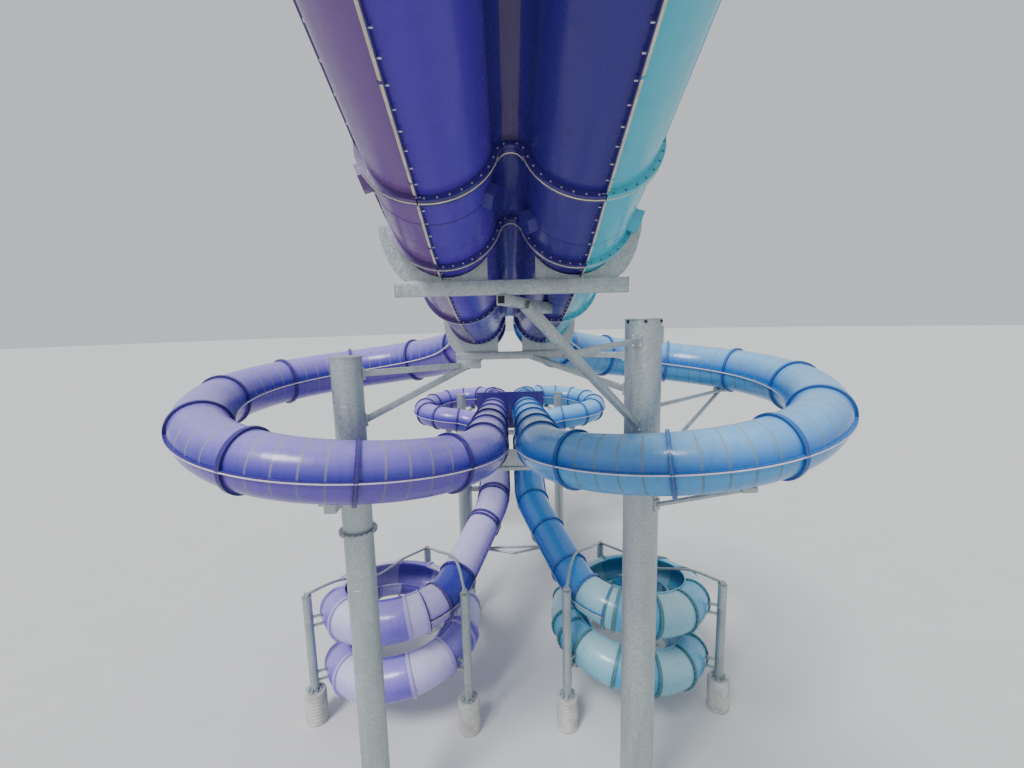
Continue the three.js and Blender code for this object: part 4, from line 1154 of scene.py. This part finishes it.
# Pipes from the right column to both sides of its loop
for node, turn, heights in (
    ("right_loop_far_arm", 137, (12.95, 11.1)),
    ("right_loop_near_strut", 263, (10.3,)),
):
    build = Build()
    spot = S_LOOP1 + arc_length(LOOP1_R, turn)
    x, y, _ = plan_at(spot)
    seat_z = bottom_at(spot)
    seat_plate(build, -x, y, seat_z)
    for z in heights:
        arm(build, (-x, y, seat_z - 0.09), RIGHT_COLUMN, z, round_bar=True)
    steel_piece(build, node)

# The supports under the trough's upper end and under the long run
build = Build()
top = draw_crossbeam(build, HEAD_Y, trough_s(HEAD_Y), half=1.5, lift=0.09)
draw_column(build, HEAD_COLUMN, top - BEAM, HEAD_SPLICE)
steel_piece(build, "head_support")
build = Build()
rear_s = S_RUN2 + REAR_Y - SHIFT_Y - LOOP1_Y
top = draw_crossbeam(build, REAR_Y, rear_s, half=2.7, lift=0.15)
draw_column(build, REAR_COLUMN, top - BEAM)
build.bar(METAL, (REAR_COLUMN["x"], REAR_Y, 8.4), (-0.15, REAR_Y, top - BEAM / 2), ARM, ARM)
drop_s = S_DROP + LOOP2_Y - 2 * LOOP2_R + SHIFT_Y - REAR_Y
z = height_at(drop_s) - 0.4
build.plate(METAL, (-2.3, REAR_Y - 0.08, z), (-1.62, REAR_Y + 0.08, z + 0.22), 0.008)
steel_piece(build, "rear_support")

# The columns of the small loops
for word, side in HANDS:
    build = Build()
    draw_column(build, HUB_COLUMN, HUB_TOP)
    for turn in (75, 255):
        spot = S_LOOP2 + arc_length(LOOP2_R, turn)
        x, y, _ = plan_at(spot)
        z = bottom_at(spot)
        seat_plate(build, x, y, z)
        arm(build, (x, y, z - 0.09), HUB_COLUMN, z - 0.09)
    steel_piece(build, f"{word}_small_loop_column", side)

# The helix posts with their paired lugs, on ribbed concrete pedestals
PEDESTAL_R = 0.408
PEDESTAL_H = 1.31
RIBS = 9
POST_R = 0.163
POST_PLATE_R = 0.285
POST_PLATE_T = 0.028
LUG = 0.085
POSTS = (("outer", 207, 5.2), ("inner", 321, 5.55), ("back", BACK_ANGLE, 4.25))


def on_helix(angle, radius, z):
    """A place at an angle and a distance from the left helix's upright axis."""
    turn = math.radians(angle)
    return Vector((HELIX_X + radius * math.cos(turn), HELIX_Y + SHIFT_Y + radius * math.sin(turn), z))


def draw_post(build, angle, top):
    """A post on its round foot plate, with pairs of lugs where the flume passes it."""
    x, y, foot = on_helix(angle, RING_R, PEDESTAL_H + 0.0004)
    plate = foot + POST_PLATE_T
    profile = [(0, foot), (POST_PLATE_R, foot), (POST_PLATE_R, plate), (POST_R, plate)]
    for z in spread(foot, top, 1.3):
        profile += [(POST_R, z - 0.006), (POST_R + 0.003, z), (POST_R, z + 0.006)]
    cap = POST_R + 0.014
    profile += [(POST_R, top - 0.015), (cap, top - 0.015), (cap, top - 0.002), (0, top)]
    build.turned(METAL, profile, x, y, 32)
    fin = [(0, 0), (0.1, 0), (0.1, 0.03), (0.02, 0.17), (0, 0.17)]
    draw_fins(build, fin, 0.012, (x, y, plate), POST_R - 0.003)
    nuts(build, [(x + 0.24 * c, y + 0.24 * s, plate) for c, s in circle_of(8, 22.5)], 1.8)
    first = (360 - angle) % 360
    for turn in (first, first + 360):
        if turn <= ENTRY_TURN + HOOD_TURN or turn > HELIX_TURN - 5:
            continue
        middle = height_at(helix_station(turn))
        for lift in (-0.24, 0.12):
            z = max(middle + lift, PEDESTAL_H + 0.12)
            wall = HELIX_R + math.sqrt(OPEN_R**2 - min(abs(z - middle) + LUG / 2, 0.7) ** 2)
            build.bar(METAL, on_helix(angle, RING_R - 0.15, z), on_helix(angle, wall + 0.006, z), LUG, LUG)
            build.bar(METAL, on_helix(angle, wall + 0.03, z), on_helix(angle, wall + 0.045, z), 0.15, 0.13)


for word, side in HANDS:
    for name, angle, top in POSTS:
        build = Build()
        draw_post(build, angle, top)
        steel_piece(build, f"{word}_helix_{name}_post", side)
        build = Build()
        x, y, _ = on_helix(angle, RING_R, 0)
        groove = PEDESTAL_R - 0.02
        ribs = [(groove, 0.0)]
        rib_h = (PEDESTAL_H - 0.06) / RIBS
        for i in range(RIBS):
            z = 0.03 + i * rib_h
            ribs += [(groove, z + 0.12 * rib_h), (PEDESTAL_R, z + 0.35 * rib_h)]
            ribs += [(PEDESTAL_R, z + 0.65 * rib_h), (groove, z + 0.88 * rib_h)]
        ribs += [(groove, PEDESTAL_H - 0.02), (PEDESTAL_R - 0.035, PEDESTAL_H)]
        build.turned(0, [(0, 0.0), *ribs, (0, PEDESTAL_H)], x, y, 40)
        if side < 0:
            build.mirror()
        node = f"{word}_helix_{name}_pedestal"
        build.piece(f"{node}_concrete", [CONCRETE], "concrete", [node])

# The bent pipes over each helix
TIE_R = 0.053
CLAMP = 0.19


def smooth_line(places, steps):
    """Places along a smooth curve through the given ones."""
    line = []
    for i in range(len(places) - 1):
        before, a, b, after = (places[min(max(k, 0), len(places) - 1)] for k in (i - 1, i, i + 1, i + 2))
        for k in range(steps):
            t = k / steps
            pull = (b - before) * t + (2 * before - 5 * a + 4 * b - after) * t**2
            line.append(a + 0.5 * (pull + (3 * a - before - 3 * b + after) * t**3))
    return [*line, places[-1]]


def draw_hose(build, number, line, radius, sides=16):
    """A round pipe along a line of places."""
    part = bmesh.new()
    bmesh.ops.create_circle(part, cap_ends=True, segments=sides, radius=radius)
    bmesh.ops.rotate(part, cent=(0, 0, 0), matrix=Matrix.Rotation(math.pi / 2, 3, "X"), verts=part.verts)
    push_down(part, [float(i) for i in range(len(line))])
    for vert in part.verts:
        i = round(vert.co.y)
        way = (line[min(i + 1, len(line) - 1)] - line[max(i - 1, 0)]).normalized()
        across = Vector((-way.y, way.x, 0)).normalized()
        vert.co = line[i] + across * vert.co.x + way.cross(across) * vert.co.z
    build.add(recalculated(part), number)


outer_top, inner_top, back_top = (top + 0.0553 for _, _, top in POSTS)
outer_head, _, back_head = (on_helix(angle, RING_R, 0.0) for _, angle, _ in POSTS)


def over_helix(share, z):
    """A place over the straight line from the outer post's head to the back one's."""
    place = outer_head.lerp(back_head, share)
    return Vector((place.x, place.y, z))


span_places = [
    over_helix(-0.015, outer_top),
    over_helix(0.04, outer_top + 0.005),
    over_helix(0.16, 5.205),
    over_helix(0.27, 5.03),
    over_helix(0.5, 4.43),
    over_helix(0.64, 4.4),
    over_helix(0.76, 4.45),
    over_helix(0.93, back_top + 0.04),
    over_helix(1.01, back_top),
]
return_places = [
    on_helix(84, RING_R + 0.06, back_top),
    on_helix(82, RING_R - 0.16, back_top + 0.08),
    on_helix(40, 1.65, back_top + 1.15),
    on_helix(-22, 2.5, inner_top + 0.56),
    on_helix(-37, RING_R - 0.16, inner_top + 0.09),
    on_helix(-40, RING_R + 0.06, inner_top + 0.004),
]
for word, side in HANDS:
    build = Build()
    for places in (span_places, return_places):
        draw_hose(build, METAL, smooth_line(places, 8), TIE_R)
    for _, angle, top in POSTS:
        x, y, z = on_helix(angle, RING_R, top + 0.0004)
        low, high = (x - CLAMP / 2, y - CLAMP / 2, z), (x + CLAMP / 2, y + CLAMP / 2, z + 2 * TIE_R)
        build.plate(METAL, low, high, 0.012)
        nuts(build, [(x + a * 0.07, y + b * 0.07, high[2]) for a in (-1, 1) for b in (-1, 1)])
    steel_piece(build, f"{word}_helix_tie_pipe", side)

# The stands under the run-outs
stand_s = S_END - 0.5
STAND_DROP = 0.84
STAND_HALF = 0.65
LEG_OUT = 0.52
FOOT_T = 0.025
for word, side in HANDS:
    build = Build()
    x, y, _ = plan_at(stand_s)
    z = height_at(stand_s) - STAND_DROP
    build.plate(METAL, (x - STAND_HALF, y - 0.06, z - 0.12), (x + STAND_HALF, y + 0.06, z), 0.008)
    seat = OPEN_R + 0.008
    turns = [math.radians(-36 - 108 * i / 24) for i in range(25)]
    cradle = [(seat * math.cos(turn), seat * math.sin(turn) + STAND_DROP) for turn in turns]
    tip_x, tip_z = cradle[0]
    edge = tip_x + 0.03
    outline = [(-0.55, 0), (0.55, 0), (edge, tip_z), *cradle, (-edge, tip_z)]
    build.cutout(METAL, outline, SADDLE_T, put(x, y, z))
    for way in (-1, 1):
        leg = x + way * LEG_OUT
        build.plate(METAL, (leg - 0.06, y - 0.06, 0.02), (leg + 0.06, y + 0.06, z - 0.06), 0.008)
        build.plate(METAL, (leg - 0.16, y - 0.16, 0.0), (leg + 0.16, y + 0.16, FOOT_T), 0.004)
        feet = [(leg + a * 0.11, y + b * 0.11, FOOT_T) for a in (-1, 1) for b in (-1, 1)]
        nuts(build, feet, 1.4)
    steel_piece(build, f"{word}_run_out_stand", side)

# The tie between the drops, the yoke of the wide loops and the bulkhead of the long run
tie_s = S_HELIX - 2.6
DROP_TIE_R = 0.05
x, y, _ = plan_at(tie_s)
z = bottom_at(tie_s) - 0.06
build = Build()
for way in (1, -1):
    low = (way * x - 0.18, y - 0.15, z - 0.04)
    build.plate(METAL, low, (low[0] + 0.36, y + 0.1, z + 0.05), 0.008)
    build.pipe(METAL, (way * x, y, z), (0, y - 0.5, z - 0.02), DROP_TIE_R)
build.pipe(METAL, (x, y, z), (-x, y, z), DROP_TIE_R)
steel_piece(build, "drop_tube_tie")


def twin_scallops(first, last, radius, rise, steps=28):
    """The edge of a plate under or over both tubes, from the right one's outer side to the left one's."""
    turns = [math.radians(first + (last - first) * i / steps) for i in range(steps + 1)]
    right = [(TWIN_X + radius * math.cos(turn), rise + radius * math.sin(turn)) for turn in turns]
    return right + [(-x, z) for x, z in reversed(right)]


YOKE_Y = 13.95 + SHIFT_Y
z = bottom_at(S_RUN2 + YOKE_Y - SHIFT_Y - LOOP1_Y)
build = Build()
build.plate(METAL, (-1.1, YOKE_Y - 0.06, z - 0.16), (1.1, YOKE_Y + 0.06, z - 0.04), 0.008)
scallops = twin_scallops(-81, -164.5, SEAT_R + 0.006, SEAT_R)
build.cutout(METAL, [(-1.0, -0.04), (1.0, -0.04), *scallops], SADDLE_T, put(0, YOKE_Y, z))
steel_piece(build, "centre_yoke")
BULKHEAD_Y = 23.6 + SHIFT_Y
BULKHEAD_T = 0.056
BULKHEAD_GAP = 0.002
BULKHEAD_HALF = 1.745
BULKHEAD_UP, BULKHEAD_DOWN = 0.995, 0.945
z = height_at(S_RUN2 + BULKHEAD_Y - SHIFT_Y - LOOP1_Y)
build = Build()
holes = [(x, max(edge, BULKHEAD_GAP)) for x, edge in twin_scallops(0, 180, SEAT_R + 0.006, 0)]
for way, rise in ((1, BULKHEAD_UP), (-1, BULKHEAD_DOWN)):
    outline = [(BULKHEAD_HALF, rise), (BULKHEAD_HALF, BULKHEAD_GAP), *holes]
    outline += [(-BULKHEAD_HALF, BULKHEAD_GAP), (-BULKHEAD_HALF, rise)]
    build.cutout(BODY, [(x, way * edge) for x, edge in outline], BULKHEAD_T, put(0, BULKHEAD_Y, z))
build.piece("long_run_bulkhead_panel", [FLANGE_VIOLET], "violet_gelcoat", ["long_run_bulkhead"])

# Looks of the CAD nodes that stay
KEPT = {
    "violet_gelcoat": VIOLET,
    "deep_violet_gelcoat": DEEP_VIOLET,
    "mauve_gelcoat": MAUVE,
    "lavender_gelcoat": LAVENDER,
    "sky_blue_gelcoat": SKY_BLUE,
    "deep_blue_gelcoat": DEEP_BLUE,
    "aqua_gelcoat": AQUA,
    "turquoise_gelcoat": TURQUOISE,
    "galvanised_steel": STEEL,
    "concrete": CONCRETE,
}
slot_of = {row["node"]: row["material_slot"] for row in frame["record"]["subparts"]}
for name, cad in frame["nodes"].items():
    for spot in cad.material_slots:
        spot.material = KEPT[slot_of[name]]

# Camera, as it stood under the trough between the two flumes
FOCAL_PX = 456.1
IMAGE_W = 1024
camera_data = bpy.data.cameras.new("photo_camera")
camera_data.sensor_width = 36.0
camera_data.lens = 36.0 * FOCAL_PX / IMAGE_W
camera = bpy.data.objects.new("photo_camera", camera_data)
bpy.context.scene.collection.objects.link(camera)
camera.location = (-0.086, SHIFT_Y, 15.314)
AIM = math.radians(-0.504)
TILT = math.radians(90 - 8.008)
ROLL = math.radians(-1.364)
turns = ((AIM, "Z"), (TILT, "X"), (ROLL, "Z"))
aim, tilt, roll = (Matrix.Rotation(angle, 3, axis) for angle, axis in turns)
camera.rotation_euler = (aim @ tilt @ roll).to_euler()
bpy.context.scene.camera = camera

# A plain pale floor and soft light
FLOOR_R = 600.0
floor_mesh = bpy.data.meshes.new("floor")
floor_bm = bmesh.new()
bmesh.ops.create_circle(floor_bm, cap_ends=True, segments=96, radius=FLOOR_R)
bmesh.ops.translate(floor_bm, vec=(0, 0, -0.002), verts=floor_bm.verts)
floor_bm.to_mesh(floor_mesh)
floor_bm.free()
floor = bpy.data.objects.new("floor", floor_mesh)
bpy.context.scene.collection.objects.link(floor)
floor_finish = dull_finish("floor_plain", (0.72, 0.72, 0.71), (0.7, 0.7, 0.69), 0.5, 0.9, 0.001)
floor_mesh.materials.append(floor_finish)
world = bpy.data.worlds.new("soft_sky")
bpy.context.scene.world = world
world.use_nodes = True
sky = world.node_tree.nodes["Background"]
sky.inputs["Color"].default_value = (0.86, 0.9, 0.96, 1)
sky.inputs["Strength"].default_value = 0.75
sun_data = bpy.data.lights.new("soft_sun", "SUN")
sun_data.energy = 2.6
sun_data.angle = math.radians(18)
sun = bpy.data.objects.new("soft_sun", sun_data)
bpy.context.scene.collection.objects.link(sun)
sun.rotation_euler = (math.radians(32), math.radians(-24), 0)
